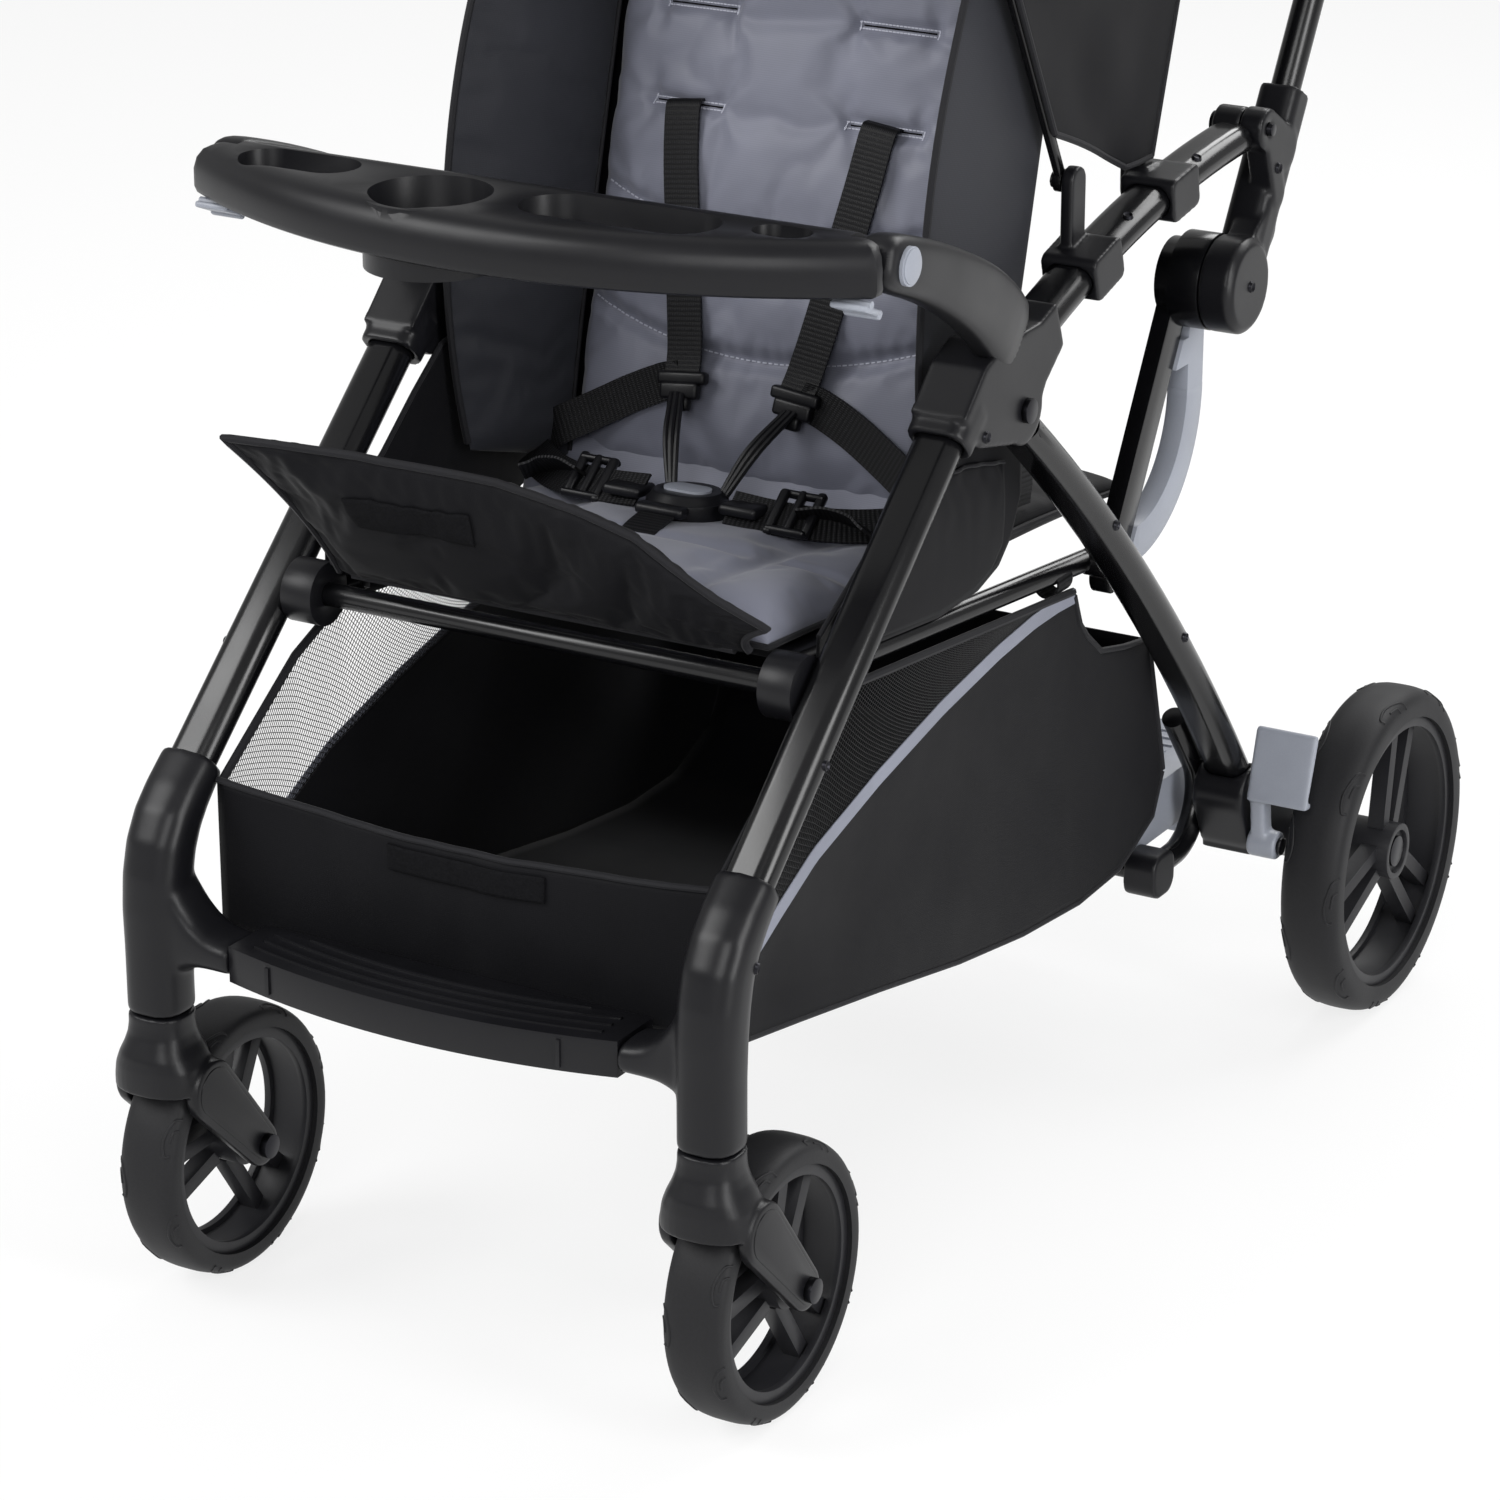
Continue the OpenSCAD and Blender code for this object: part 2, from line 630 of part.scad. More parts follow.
module standing_platform() {
    difference() {
        translate([0, 0, platform_z - 44]) linear_extrude(44) platform_plan(0);
        translate([0, 0, platform_z - 50]) linear_extrude(46) platform_plan(4);
    }
    for (k = [0:8])
        translate([-platform_w/2 + 24, platform_y + 22 + k*(platform_l - 44)/8 - 2, platform_z - 0.5])
        cube([platform_w - 48, 4, 2]);
    for (k = [-2:2]) translate([66*k - 2, platform_y + 3, platform_z - 36]) cube([4, platform_l - 6, 34]);
    both() difference() {
        side(platform_w/2 - 60, platform_w/2 - 40) polygon([[rear_axle_y - 24, platform_z - 40],
            [rear_axle_y - 16, rear_r - 14], [rear_axle_y + 14, rear_r - 14], [rear_axle_y + 14, rear_r + 16],
            [rear_axle_y - 14, platform_z - 14], [rear_axle_y - 26, platform_z - 14]]);
        across(rear_axle, -400, 400, 16 + 2*fit_gap);
    }
    difference() {
        side(-30, 30) polygon([cross_at + [-14, 0], cross_at + [-14, -15], cross_at + [14, -15],
            cross_at + [16, 32], cross_at + [4, 34]]);
        across(cross_at, -400, 400, platform_tube_d - 3 + 2*fit_gap);
    }
}

platform_x = frame_x - tube_w/2 - platform_tube_d/2 - 3.6;
cross_at = [platform_y - 7, platform_z - 56];

module platform_tube() {
    r = 40;
    c = [leg_end[0] - 49.5, cross_at[1] + r];
    both() translate([platform_x, c[0], c[1]]) rotate([90, 0, 90]) {
        // the leg-side run, its bend and the run forward to the cross tube
        rotate(38) translate([r, 0, 0]) rotate([-90, 0, 0]) cylinder(d = platform_tube_d, h = 60);
        rotate_extrude(angle = 128, start = -90) translate([r, 0]) circle(d = platform_tube_d);
        translate([0, -r, 0]) rotate([0, -90, 0]) cylinder(d = platform_tube_d, h = c[0] - cross_at[0] - 10);
    }
    across(cross_at, -platform_x - 6, platform_x + 6, platform_tube_d - 3);
}

module platform_clamp() difference() {
    side(platform_x - 13, platform_x + 13) translate(cross_at + [2, 0]) round_rect(36, 34, 12);
    across(cross_at, platform_x - 20, platform_x + 6 + fit_gap, platform_tube_d - 3 + 2*fit_gap);
    bar(platform_x, cross_at + [10 - fit_gap, 0], cross_at + [60, 0]) circle(d = platform_tube_d + 2*fit_gap);
}

module brake_pedal() difference() {
    union() {
        across(brake_at, bracket_out + 5.4, bracket_out + 28.6, 22);
        side(bracket_out + 8, bracket_out + 20) translate(brake_at)
            polygon([[-8, 0], [8, 0], [1, 47], [-14, 49]]);
        side(bracket_out + 6, rear_x - 2) translate(brake_at)
            polygon([[-16, 38], [-6, 36.5], [-4, 41], [-10.5, 43], [5.2, 89], [4, 92], [1, 92.5], [-1, 91]]);
    }
    across(brake_at, bracket_out, bracket_out + 40, 10 + 2*run_gap);
}

// Handle

drum_face = frame_x;

module handle_arm() difference() {
    union() {
        bar(arm_x, arm_base - 96*handle_dir, arm_base + 44*handle_dir) round_rect(32, 30, 8.6);
        side(block_out + move_gap, arm_x + 17) {
            strip(handle_pivot, handle_pivot + 40*handle_nor, 30);
            strip(handle_pivot + 3*handle_nor, arm_base - 34*handle_dir, 18);
        }
        across(drum, drum_face, drum_face + 22, drum_d);
        translate([drum_face + 22, drum[0], drum[1]]) rotate([0, 90, 0])
            cylinder(d1 = drum_d, d2 = drum_d - 10, h = 4.5);
        side(drum_face + 0.8, arm_x + 15) strip(drum + [3, 10], arm_base - 60*handle_dir, 29);
    }
    across(drum, frame_x - 60, drum_face, drum_d + 2*move_gap + 1);
    across(handle_pivot, frame_x - 40, frame_x + 60, pivot_d + 2*run_gap);
    across(drum, drum_face - 1, drum_face + 18, 10 + 2*fit_gap);
    bar(arm_x, arm_base - 30*handle_dir, arm_base + 60*handle_dir) circle(d = handle_d + 2*fit_gap);
}

module handle_tube() translate([0, arm_base[0], arm_base[1]]) rotate([-handle_lean, 0, 0])
    translate([0, 0, -28]) arch(arm_x, grip_run + 28, handle_bend, handle_d);

module handle_grip() translate([0, arm_base[0], arm_base[1]]) rotate([-handle_lean, 0, 0])
    translate([0, 0, grip_run]) rotate([0, 90, 0]) difference() {
        union() {
            cylinder(d = grip_d, h = 2*(arm_x - handle_bend) - 8, center = true);
            for (s = [-1, 1]) translate([0, 0, s*(arm_x - handle_bend - 4)])
                cylinder(d = grip_d - 5, h = 5, center = true);
        }
        cylinder(d = handle_d + 2*fit_gap, h = 600, center = true);
    }

module drum_pin() {
    across(drum, link_x - 6, drum_face + 17, 10);
    across(drum, link_x - 8, link_x - move_gap, 20);
}

// Fold links

module fold_link() difference() {
    union() {
        side(link_x, link_x + link_t) {
            strip(drum, link_foot, 26);
            translate(drum) circle(d = drum_d - 12);
        }
        across(drum, link_x + link_t - 1, drum_face - move_gap, drum_d);
    }
    across(drum, link_x - 5, drum_face + 5, 10 + 2*run_gap);
}

module grab_bar() {
    r = 82;
    c = drum + [-83, -84];
    side(link_x, link_x + 16) difference() {
        union() {
            translate(c) intersection() {
                difference() {
                    circle(r + 26, $fn = 120);
                    circle(r, $fn = 120);
                }
                polygon([[0, 0], [160, 0], [160, -160], [-16, -160]]);
            }
            translate(c + [r + 0.3, -4]) square([25.4, 46]);
            translate(c + [r + 13, 42]) circle(12.7);
            translate(c + [r - 28, 20]) square([32, 20]);
        }
        strip(drum, link_foot, 26 + 2*fit_gap);
        translate(drum) circle(d = drum_d + 2*fit_gap);
    }
}

// Seat

module seat_bar() seat_frame() rotate([0, 90, 0]) cylinder(d = rail_d, h = 2*rail_x - 8, center = true);

module seat_bar_knob() seat_frame() translate([rail_x - 8, 0, 0]) rotate([0, 90, 0]) difference() {
    cylinder(d = 44, h = frame_x - tube_w/2 - rail_x + 8 - 0.3);
    translate([0, 0, -1]) cylinder(d = rail_d + 2*fit_gap, h = 6);
}

module seat_rail() difference() {
    seat_frame() translate([rail_x, 0, 0]) rotate([-90, 0, 0]) {
        translate([0, 0, 22.1]) cylinder(d = rail_d, h = rail_len - 22.1);
        translate([0, 0, rail_len]) rotate([0, 90, 0])
            cylinder(d = 22, h = frame_x - tube_w/2 - rail_x - 0.5);
    }
}

module seat_board() seat_frame() difference() {
    union() {
        translate([-rail_x + 4, 24, seat_n + 0.3]) cube([2*rail_x - 8, 236, board_t]);
        both() translate([110, 250, seat_n + 0.3]) cube([30, 20, board_t]);
        both() translate([rail_x - rail_d/2 - 6.1, 40, -3]) cube([6, 200, seat_n + 4]);
        both() translate([110, hinge_s, hinge_n]) rotate([0, 90, 0]) cylinder(d = 18, h = 30);
        both() translate([110, 262, seat_n + 0.3]) cube([30, hinge_s - 262, 12]);
    }
    translate([0, hinge_s, hinge_n]) rotate([0, 90, 0]) cylinder(d = 8 + 2*fit_gap, h = 400, center = true);
}

module back_hinge_rod() translate([0, back_at[0], back_at[1]]) rotate([0, 90, 0])
    cylinder(d = 8, h = 320, center = true);

seat_pad_n = seat_n + 0.6 + board_t;

// Cushion of the front seat: crowned, drawn in along its sides, with two sewn channels along it
module seat_pad() {
    nu = 22;
    nv = 18;
    function side_x(u, v) = u*(171 - 4*(1 - v*v));
    function run_y(u, v) = seat_depth/2 - 4 + v*(seat_depth/2 - 3*(1 - u*u));
    function rise(u, v) = 7 + pad_t*stuffed(u, v)*(0.86 + 0.14*v*-1)
        - channel(abs(u) - 0.56, 5, 0.12)*stuffed(u, v) - channel(v + 0.1, 3, 0.16)*stuffed(u, v);
    function su(i) = sin(-90 + 180*i/nu);
    function sv(j) = sin(-90 + 180*j/nv);
    seat_frame() translate([0, 0, seat_pad_n]) shell(
        [for (i = [0:nu]) [for (j = [0:nv]) [side_x(su(i), sv(j)), run_y(su(i), sv(j)), rise(su(i), sv(j))]]],
        [for (i = [0:nu]) [for (j = [0:nv]) [side_x(su(i), sv(j)), run_y(su(i), sv(j)), 0]]]);
}

back_half = 189;
board_m = -14;

module back_board() back_frame() difference() {
    union() {
        translate([-178, board_m, 26]) cube([356, 8, back_len - 34]);
        both() translate([60, 0, 0]) rotate([0, 90, 0]) cylinder(d = 17, h = 48);
        both() translate([60, board_m, 0]) cube([48, 8, 30]);
        both() translate([60, board_m, -6]) cube([48, 14, 12]);
    }
    rotate([0, 90, 0]) cylinder(d = 8 + 2*run_gap, h = 500, center = true);
}

// Back pad: stuffed middle, two sewn seams, side wings that stand forward
module back_pad() {
    nu = 26;
    nv = 21;
    t0 = 44;
    // closer steps over the wings
    function su(i) = i < 5 ? -1 + 0.22*i/5 : i < 22 ? -0.78 + 1.56*(i - 5)/16 : 0.78 + 0.22*(i - 21)/5;
    function sv(j) = sin(-90 + 180*j/nv);
    function half_x(v) = back_half - 5*(1 - v*v) - 34*pow(max(0, v), 6);
    function tz(u, v) = t0 + (back_len - t0)/2*(1 + v) - 26*pow(abs(u), 4)*pow(max(0, v), 3);
    function wing(u, v) = pow(max(0, (abs(u) - 0.78)/0.22), 1.1)*wing_reach
        *(0.25 + 0.75*pow(max(0, cos(72*v - 4)), 0.8));
    function rise(u, v) = 6 + pad_t*0.82*pow(max(0, 1 - pow(abs(v), 6)), 0.5)*(1 - 0.2*pow(abs(u), 2))
        - channel(abs(u) - 0.78, 9, 0.1) - channel(v + 0.62 - 0.2*u*u, 4, 0.1)*(abs(u) < 0.78 ? 1 : 0)
        - channel(v + 0.3 - 0.2*u*u, 4, 0.1)*(abs(u) < 0.78 ? 1 : 0) + wing(u, v);
    back_frame() translate([0, board_m - 0.3, 0]) rotate([90, 0, 0]) shell(
        [for (i = [0:nu]) [for (j = [0:nv])
            [su(i)*half_x(sv(j)), tz(su(i), sv(j)), rise(su(i), sv(j))]]],
        [for (i = [0:nu]) [for (j = [0:nv])
            [su(i)*half_x(sv(j)), tz(su(i), sv(j)), 0]]]);
}

pad_face = board_m - 0.3 - 6 - pad_t*0.82;

// Shoulder webbing from the upper slots down to a clip, lying on the back pad
module shoulder_straps() back_frame() both() {
    translate([58, pad_face - 2.1, 120]) rotate([0, 5, 0]) cube([26, 2.4, 190]);
    translate([52, pad_face - 10.8, 96]) cube([36, 11, 40]);
}

buckle_s = 176;
buckle_d = 57;
buckle_n = seat_pad_n + 6.1 + pad_t*0.8;

// Lap webbing from the seat's rear corners to the buckle
module lap_harness() seat_frame() {
    both() translate([32, buckle_s - 8, buckle_n + 1.3]) rotate([0, 0, 12]) cube([94, 25, 2.4]);
    both() translate([96, buckle_s + 4, buckle_n + 0.5]) rotate([0, 0, 12]) cube([26, 36, 5]);
    translate([-12.5, buckle_s - 70, buckle_n + 2.6]) cube([25, 40, 2.4]);
}

module harness_buckle() seat_frame() translate([0, buckle_s, buckle_n]) difference() {
    union() {
        translate([0, 0, 2]) cylinder(d = buckle_d, h = 11);
        translate([0, 0, 12]) cylinder(d1 = buckle_d, d2 = buckle_d - 10, h = 7);
    }
    translate([0, 0, 12]) linear_extrude(20) round_rect(34 + 2*move_gap, 22 + 2*move_gap, 10 + move_gap);
}

module buckle_button() seat_frame() translate([0, buckle_s, buckle_n + 14.5]) linear_extrude(6)
    round_rect(34, 22, 10);

flap_at = seat_at + [20*sin(seat_pitch) - 7.7*cos(seat_pitch),
    20*cos(seat_pitch) + 7.7*sin(seat_pitch)];

// Leg flap, sewn along the seat's front edge and lifted, a stuffed form with a drawn-in edge
module leg_flap() {
    nu = 22;
    nv = 12;
    function su(i) = sin(-90 + 180*i/nu);
    function half_x(v) = 160 + 12*(v + 1) - 4*(1 - v*v);
    // long and low at the left corner, short and steep at the right one; local u runs to the left
    function len_at(u) = flap_len + 2 - 30*(1 - u) - 56*pow(max(0, -u), 1.8);
    function turn(u) = 14 - 8*u - 6*u*u;
    function run(u, v) = 1 + len_at(u)/2*(1 + v);
    function turned(u, q) = let (c = cos(turn(u)), s = sin(turn(u))) [q[0], q[1]*c - q[2]*s, q[1]*s + q[2]*c];
    function rise(u, v) = 3 + 11*stuffed(u, v) - channel(v - 0.1, 3, 0.2)*stuffed(u, v);
    // piping along the seam
    translate([0, flap_at[0], flap_at[1]]) rotate([0, 90, 0]) cylinder(d = 8.4, h = 300, center = true);
    translate([0, flap_at[0], flap_at[1]]) rotate([flap_lift, 0, 180]) shell(
        [for (i = [0:nu]) [for (j = [0:nv]) let (u = su(i), v = sin(-90 + 180*j/nv))
            turned(u, [u*half_x(v), run(u, v), rise(u, v)])]],
        [for (i = [0:nu]) [for (j = [0:nv]) let (u = su(i), v = sin(-90 + 180*j/nv))
            turned(u, [u*half_x(v), run(u, v), -3 - 2*stuffed(u, v)])]]);
}

// Rear bench: padded seat with a rounded belly, resting on the rails
module rear_bench() {
    nu = 20;
    nv = 16;
    bench_s = 322;
    bench_l = 214;
    function su(i) = sin(-90 + 180*i/nu);
    function x_of(u, v) = u*(163 - 4*(1 - v*v));
    function y_of(u, v) = bench_s + bench_l/2*(1 + v*(1 - 0.03*(1 - u*u)));
    function top(u, v) = 34 + 15*stuffed(u, v) - channel(v, 3, 0.15)*stuffed(u, v);
    function low(u, v) = 30 - 18*stuffed(u, v)*(1 - 0.3*v);
    seat_frame() {
        shell([for (i = [0:nu]) [for (j = [0:nv]) let (u = su(i), v = su(j*nu/nv))
                [x_of(u, v), y_of(u, v), top(u, v)]]],
            [for (i = [0:nu]) [for (j = [0:nv]) let (u = su(i), v = su(j*nu/nv))
                [x_of(u, v), y_of(u, v), low(u, v)]]]);
        both() translate([110, bench_s + 30, seat_n + 0.3]) cube([rail_x - 105, 50, 6]);
        both() translate([100, bench_s + 30, seat_n + 0.3]) cube([50, 50, 20]);
    }
}

// Canopy

// The upper tube's arc, as its circle's radius and middle
upper_end = handle_pivot - [4, 5];
upper_l = length(upper_end - upper_start);
upper_r = (upper_l*upper_l/4 + upper_bow*upper_bow)/(2*upper_bow);
upper_c = (upper_start + upper_end)/2 + [upper_start[1] - upper_end[1], upper_end[0] - upper_start[0]]
    /upper_l*(upper_bow - upper_r);
function upper_z(y) = upper_c[1] + sqrt(upper_r*upper_r - pow(y - upper_c[0], 2));
function upper_slope(y) = atan2(upper_c[0] - y, upper_z(y) - upper_c[1]);

// A clip wrapped round the upper tube at y
module clip_wrap(y) side(frame_x - tube_w/2 - 4, frame_x + tube_w/2 + 4)
    translate([y, upper_z(y)]) rotate(upper_slope(y)) round_rect(42, tube_t + 9, 6);

module canopy_clips() both() {
    difference() {
        union() {
            clip_wrap(bow_front[0]);
            side(bow_x + bow_d/2 + move_gap, bow_x + 14) {
                translate(bow_front) circle(11);
                translate([bow_front[0] - 11, upper_z(bow_front[0])])
                    square([22, bow_front[1] - upper_z(bow_front[0])]);
            }
            across(bow_front, bow_x - 5, bow_x + 8, 6);
            across(bow_front, bow_x - 6.5, bow_x - bow_d/2 - move_gap, 12);
        }
        bowed(frame_x, upper_start, upper_end, upper_bow) tube_section(fit_gap);
    }
    difference() {
        union() {
            clip_wrap(bow_rear[0]);
            side(bow_x - 9, bow_x + 12) translate(bow_rear + [-10, -8]) square([20, 15]);
        }
        bowed(frame_x, upper_start, upper_end, upper_bow) tube_section(fit_gap);
        translate([bow_x, bow_rear[0], bow_rear[1]]) rotate([-rear_bow_lean, 0, 0])
            cylinder(d = bow_d + 2*fit_gap, h = 60);
    }
}

function bow_h(p, lean) = (canopy_top - cloth_t - bow_d/2 - p[1])/cos(lean);

module canopy_front_bow() translate([0, bow_front[0], bow_front[1]]) difference() {
    union() {
        rotate([front_bow_lean, 0, 0]) arch(bow_x, bow_h(bow_front, front_bow_lean) - 14, 104, bow_d);
        both() side(bow_x - bow_d/2 + 1, bow_x + bow_d/2 - 1) circle(8);
    }
    side(-400, 400) circle(r = 3 + run_gap);
}

module canopy_rear_bow() translate([0, bow_rear[0], bow_rear[1]]) rotate([-rear_bow_lean, 0, 0])
    translate([0, 0, 0.4]) arch(bow_x, bow_h(bow_rear, rear_bow_lean) - 14, 104, bow_d);

// Cloth over the bows: two upright sides, a rounded top, the lower edge swept back to a point
module canopy_cloth() {
    nu = 34;
    nv = 12;
    r = 88;
    top = canopy_top;
    // run of the cloth over the arch, from the left foot to the right one, height h over the foot
    function arch_pt(a, half, h, rr, f) =
        a < 0.36 ? [-half, f + (h - rr - f)*a/0.36] :
        a < 0.46 ? [-half + rr*(1 - cos(900*(a - 0.36))), h - rr + rr*sin(900*(a - 0.36))] :
        a < 0.54 ? [(half - rr)*(a - 0.5)/0.04, h] :
        a < 0.64 ? [half - rr*(1 - cos(900*(0.64 - a))), h - rr + rr*sin(900*(0.64 - a))] :
        [half, f + (h - rr - f)*(1 - a)/0.36];
    // lower edge's height along the run from the front bow, v = 0, to the rear bow, v = 1
    function foot_z(v) = v < 0.72 ? 24 + 14 - 46*v : 4.9 + (v - 0.72)*20;
    function base_y(v) = bow_front[0] - 4 + (bow_rear[0] - bow_front[0] + 8)*v;
    function base_z(v) = bow_front[1] + (bow_rear[1] - bow_front[1])*v;
    function lean(v) = tan(front_bow_lean)*(v - 1) + tan(rear_bow_lean)*v;
    function crown(v) = 4*v*(1 - v) ;
    function pt(a, v, e) = let (h = top - e - base_z(v) - 10*(1 - crown(v)),
            q = arch_pt(a, canopy_x - e, h, r - e, foot_z(v)))
        [q[0], base_y(v) + lean(v)*q[1], base_z(v) + q[1]];
    // closer steps round the two corners
    function sa(i) = i < 5 ? 0.072*i : i < 14 ? 0.36 + 0.1*(i - 5)/9 : i < 20 ? 0.46 + 0.08*(i - 14)/6 :
        i < 29 ? 0.54 + 0.1*(i - 20)/9 : 0.64 + 0.072*(i - 29);
    shell([for (i = [0:nu]) [for (j = [0:nv]) pt(sa(i), j/nv, 0)]],
        [for (i = [0:nu]) [for (j = [0:nv]) pt(sa(i), j/nv, cloth_t)]]);
}

// Basket

basket_low = [leg_foot + [76, -83], leg_foot + [149, -98], leg_foot + [257, -118], leg_foot + [373, -141],
    leg_foot + [470, -156], leg_foot + [559, -164], leg_foot + [625, -161], leg_foot + [680, -138],
    leg_foot + [696, -108]];
basket_top = [leg_foot + [664, 8], leg_foot + [585, 22], leg_foot + [561, 42], leg_foot + [543, 82],
    leg_foot + [520, 84], leg_foot + [300, 106], leg_foot + [190, 117]];

// A wall of the basket that follows a run of side view points, t thick and lying above it
module basket_run(pts, t) side(-basket_x, basket_x)
    polygon(concat(pts, [for (k = [len(pts) - 1:-1:0]) pts[k] + t]));

module basket() {
    front = [leg_foot + [38, 30], leg_foot + [42, -62]];
    both() difference() {
        side(basket_x - 3, basket_x) polygon(concat([front[0], front[1]], basket_low, basket_top,
            [leg_foot + [130, 92]]));
        bar(frame_x, leg_foot, leg_foot + 400*leg_dir) round_rect(tube_w + 20, tube_t + 10, 8);
    }
    basket_run(concat([front[1]], basket_low), [0, 3]);
    side(-basket_x, basket_x) polygon([front[0], front[1], front[1] + [3, 0], front[0] + [3, 0]]);
    side(-basket_x, basket_x) polygon([basket_low[8], basket_low[8] + [-3, 0], basket_top[0] + [-3, 0],
        basket_top[0]]);
}

// Drawing

color("#26272a") mirror([1, 0, 0]) front_tyre();  // front_tyre_left
color("#26272a") front_tyre();  // front_tyre_right
color("#3a3a42") mirror([1, 0, 0]) front_rim();  // front_rim_left
color("#3a3a42") front_rim();  // front_rim_right
color("#26272a") mirror([1, 0, 0]) rear_tyre();  // rear_tyre_left
color("#26272a") rear_tyre();  // rear_tyre_right
color("#3a3a42") mirror([1, 0, 0]) rear_rim();  // rear_rim_left
color("#3a3a42") rear_rim();  // rear_rim_right
color("#33333a") mirror([1, 0, 0]) caster_fork();  // caster_fork_left
color("#33333a") caster_fork();  // caster_fork_right
color("#8a8c90") mirror([1, 0, 0]) caster_pins();  // caster_pins_left
color("#8a8c90") caster_pins();  // caster_pins_right
color("#33333a") both() casting();  // leg_castings
color("#33333a") footrest();
color("#1c1c1f") both() front_leg();  // front_legs
color("#33333a") both() hub_knot();  // hubs
color("#1c1c1f") both() upper_tube();  // upper_tubes
color("#33333a") both() tube_end_block();  // tube_end_blocks
color("#33333a") both() tray_arm();  // tray_arms
color("#8a8c90") both() pivot_pin();  // pivot_pins
color("#1c1c1f") both() rear_leg();  // rear_legs
color("#33333a") both() rear_leg_cap();  // rear_leg_caps
color("#33333a") both() axle_bracket();  // axle_brackets
color("#8a8c90") rear_axle_bar();
color("#9a9ca2") standing_platform();
color("#1c1c1f") platform_tube();
color("#33333a") both() platform_clamp();  // platform_clamps
color("#9a9ca2") mirror([1, 0, 0]) brake_pedal();  // brake_pedal_left
color("#9a9ca2") brake_pedal();  // brake_pedal_right
color("#33333a") both() handle_arm();  // handle_arms
color("#1c1c1f") handle_tube();
color("#222225") handle_grip();
color("#8a8c90") both() drum_pin();  // drum_pins
color("#1c1c1f") both() fold_link();  // fold_links
color("#9a9ca2") both() grab_bar();  // grab_bars
color("#1c1c1f") seat_bar();
color("#33333a") both() seat_bar_knob();  // seat_bar_knobs
color("#1c1c1f") both() seat_rail();  // seat_rails
color("#2a2a2e") seat_board();
color("#5f6a7a") seat_pad();
color("#8a8c90") back_hinge_rod();
color("#2a2a2e") back_board();
color("#5f6a7a") back_pad();
color("#1f1f22") shoulder_straps();
color("#1f1f22") lap_harness();
color("#26262a") harness_buckle();
color("#55565c") buckle_button();
color("#5f6a7a") leg_flap();
color("#26272c") rear_bench();
color("#33333a") child_tray();
color("#9a9ca2") mirror([1, 0, 0]) tray_button();  // tray_button_left
color("#9a9ca2") tray_button();  // tray_button_right
color("#9a9ca2") mirror([1, 0, 0]) tray_lever();  // tray_lever_left
color("#9a9ca2") tray_lever();  // tray_lever_right
color("#33333a") canopy_clips();
color("#1c1c1f") canopy_front_bow();
color("#1c1c1f") canopy_rear_bow();
color("#1f2024") canopy_cloth();
color("#1f2024") basket();
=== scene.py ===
"""Tandem sit-and-stand stroller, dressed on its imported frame.

Everything is in metres in the frame's own axes: the front looks toward -Y, X runs across and Z is up.
Sizes in the classes are in millimetres, as they are in the part's source.
"""

from __future__ import annotations

import json
import logging
import math
from dataclasses import dataclass, field
from enum import Enum
from typing import Any, Callable, Sequence

import bmesh
import bpy
from bmesh.types import BMesh
from bpy.types import Material, NodeTree, Object
from mathutils import Matrix, Vector, noise
from mathutils.bvhtree import BVHTree

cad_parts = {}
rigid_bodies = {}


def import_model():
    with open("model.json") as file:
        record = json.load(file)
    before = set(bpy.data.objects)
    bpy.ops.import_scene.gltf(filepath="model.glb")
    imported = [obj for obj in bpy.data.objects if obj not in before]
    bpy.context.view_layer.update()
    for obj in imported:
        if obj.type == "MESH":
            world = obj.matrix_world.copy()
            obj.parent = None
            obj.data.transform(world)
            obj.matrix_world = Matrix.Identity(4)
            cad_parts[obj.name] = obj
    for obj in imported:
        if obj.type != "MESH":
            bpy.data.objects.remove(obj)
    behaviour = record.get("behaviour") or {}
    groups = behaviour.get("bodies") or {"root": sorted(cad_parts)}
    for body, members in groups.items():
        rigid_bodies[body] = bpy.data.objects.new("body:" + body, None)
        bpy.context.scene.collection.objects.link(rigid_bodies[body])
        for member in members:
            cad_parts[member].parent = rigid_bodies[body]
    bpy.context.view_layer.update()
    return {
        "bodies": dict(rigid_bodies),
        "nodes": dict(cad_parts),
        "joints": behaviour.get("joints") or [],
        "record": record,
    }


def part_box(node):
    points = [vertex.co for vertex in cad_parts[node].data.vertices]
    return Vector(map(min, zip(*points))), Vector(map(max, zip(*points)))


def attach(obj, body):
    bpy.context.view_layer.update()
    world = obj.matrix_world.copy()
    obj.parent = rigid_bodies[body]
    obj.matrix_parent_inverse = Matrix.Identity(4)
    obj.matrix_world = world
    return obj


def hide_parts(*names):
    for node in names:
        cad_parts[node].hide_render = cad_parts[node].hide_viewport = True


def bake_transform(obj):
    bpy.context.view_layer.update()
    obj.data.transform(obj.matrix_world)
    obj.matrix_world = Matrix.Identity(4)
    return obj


LOG = logging.getLogger("stroller")
MM = 0.001
SIDES = (("left", -1.0), ("right", 1.0))
# Scale at which Blender's wave texture repeats once a metre
WAVE_SCALE = 0.314
# Steps of the cloth simulation
CLOTH_FRAMES = 16
# Width and height of a stitch, in millimetres
STITCH = (0.9, 0.8)
# Distance from the middle at which rays toward the side faces start, in metres
RAY_START = 0.4
# How far a screw's head sinks in, in metres
SCREW_SINK = 0.0006
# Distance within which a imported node's vertices are welded, in metres
WELD = 1e-5


def srgb(code: str) -> tuple[float, float, float, float]:
    """Linear colour of an sRGB hex code.

    Args:
        code: six hex digits with a leading hash.

    Returns:
        Red, green, blue and an alpha of one.
    """
    parts = [int(code[i:i + 2], 16) / 255 for i in (1, 3, 5)]
    linear = [c / 12.92 if c <= 0.04045 else ((c + 0.055) / 1.055) ** 2.4 for c in parts]
    return (linear[0], linear[1], linear[2], 1.0)


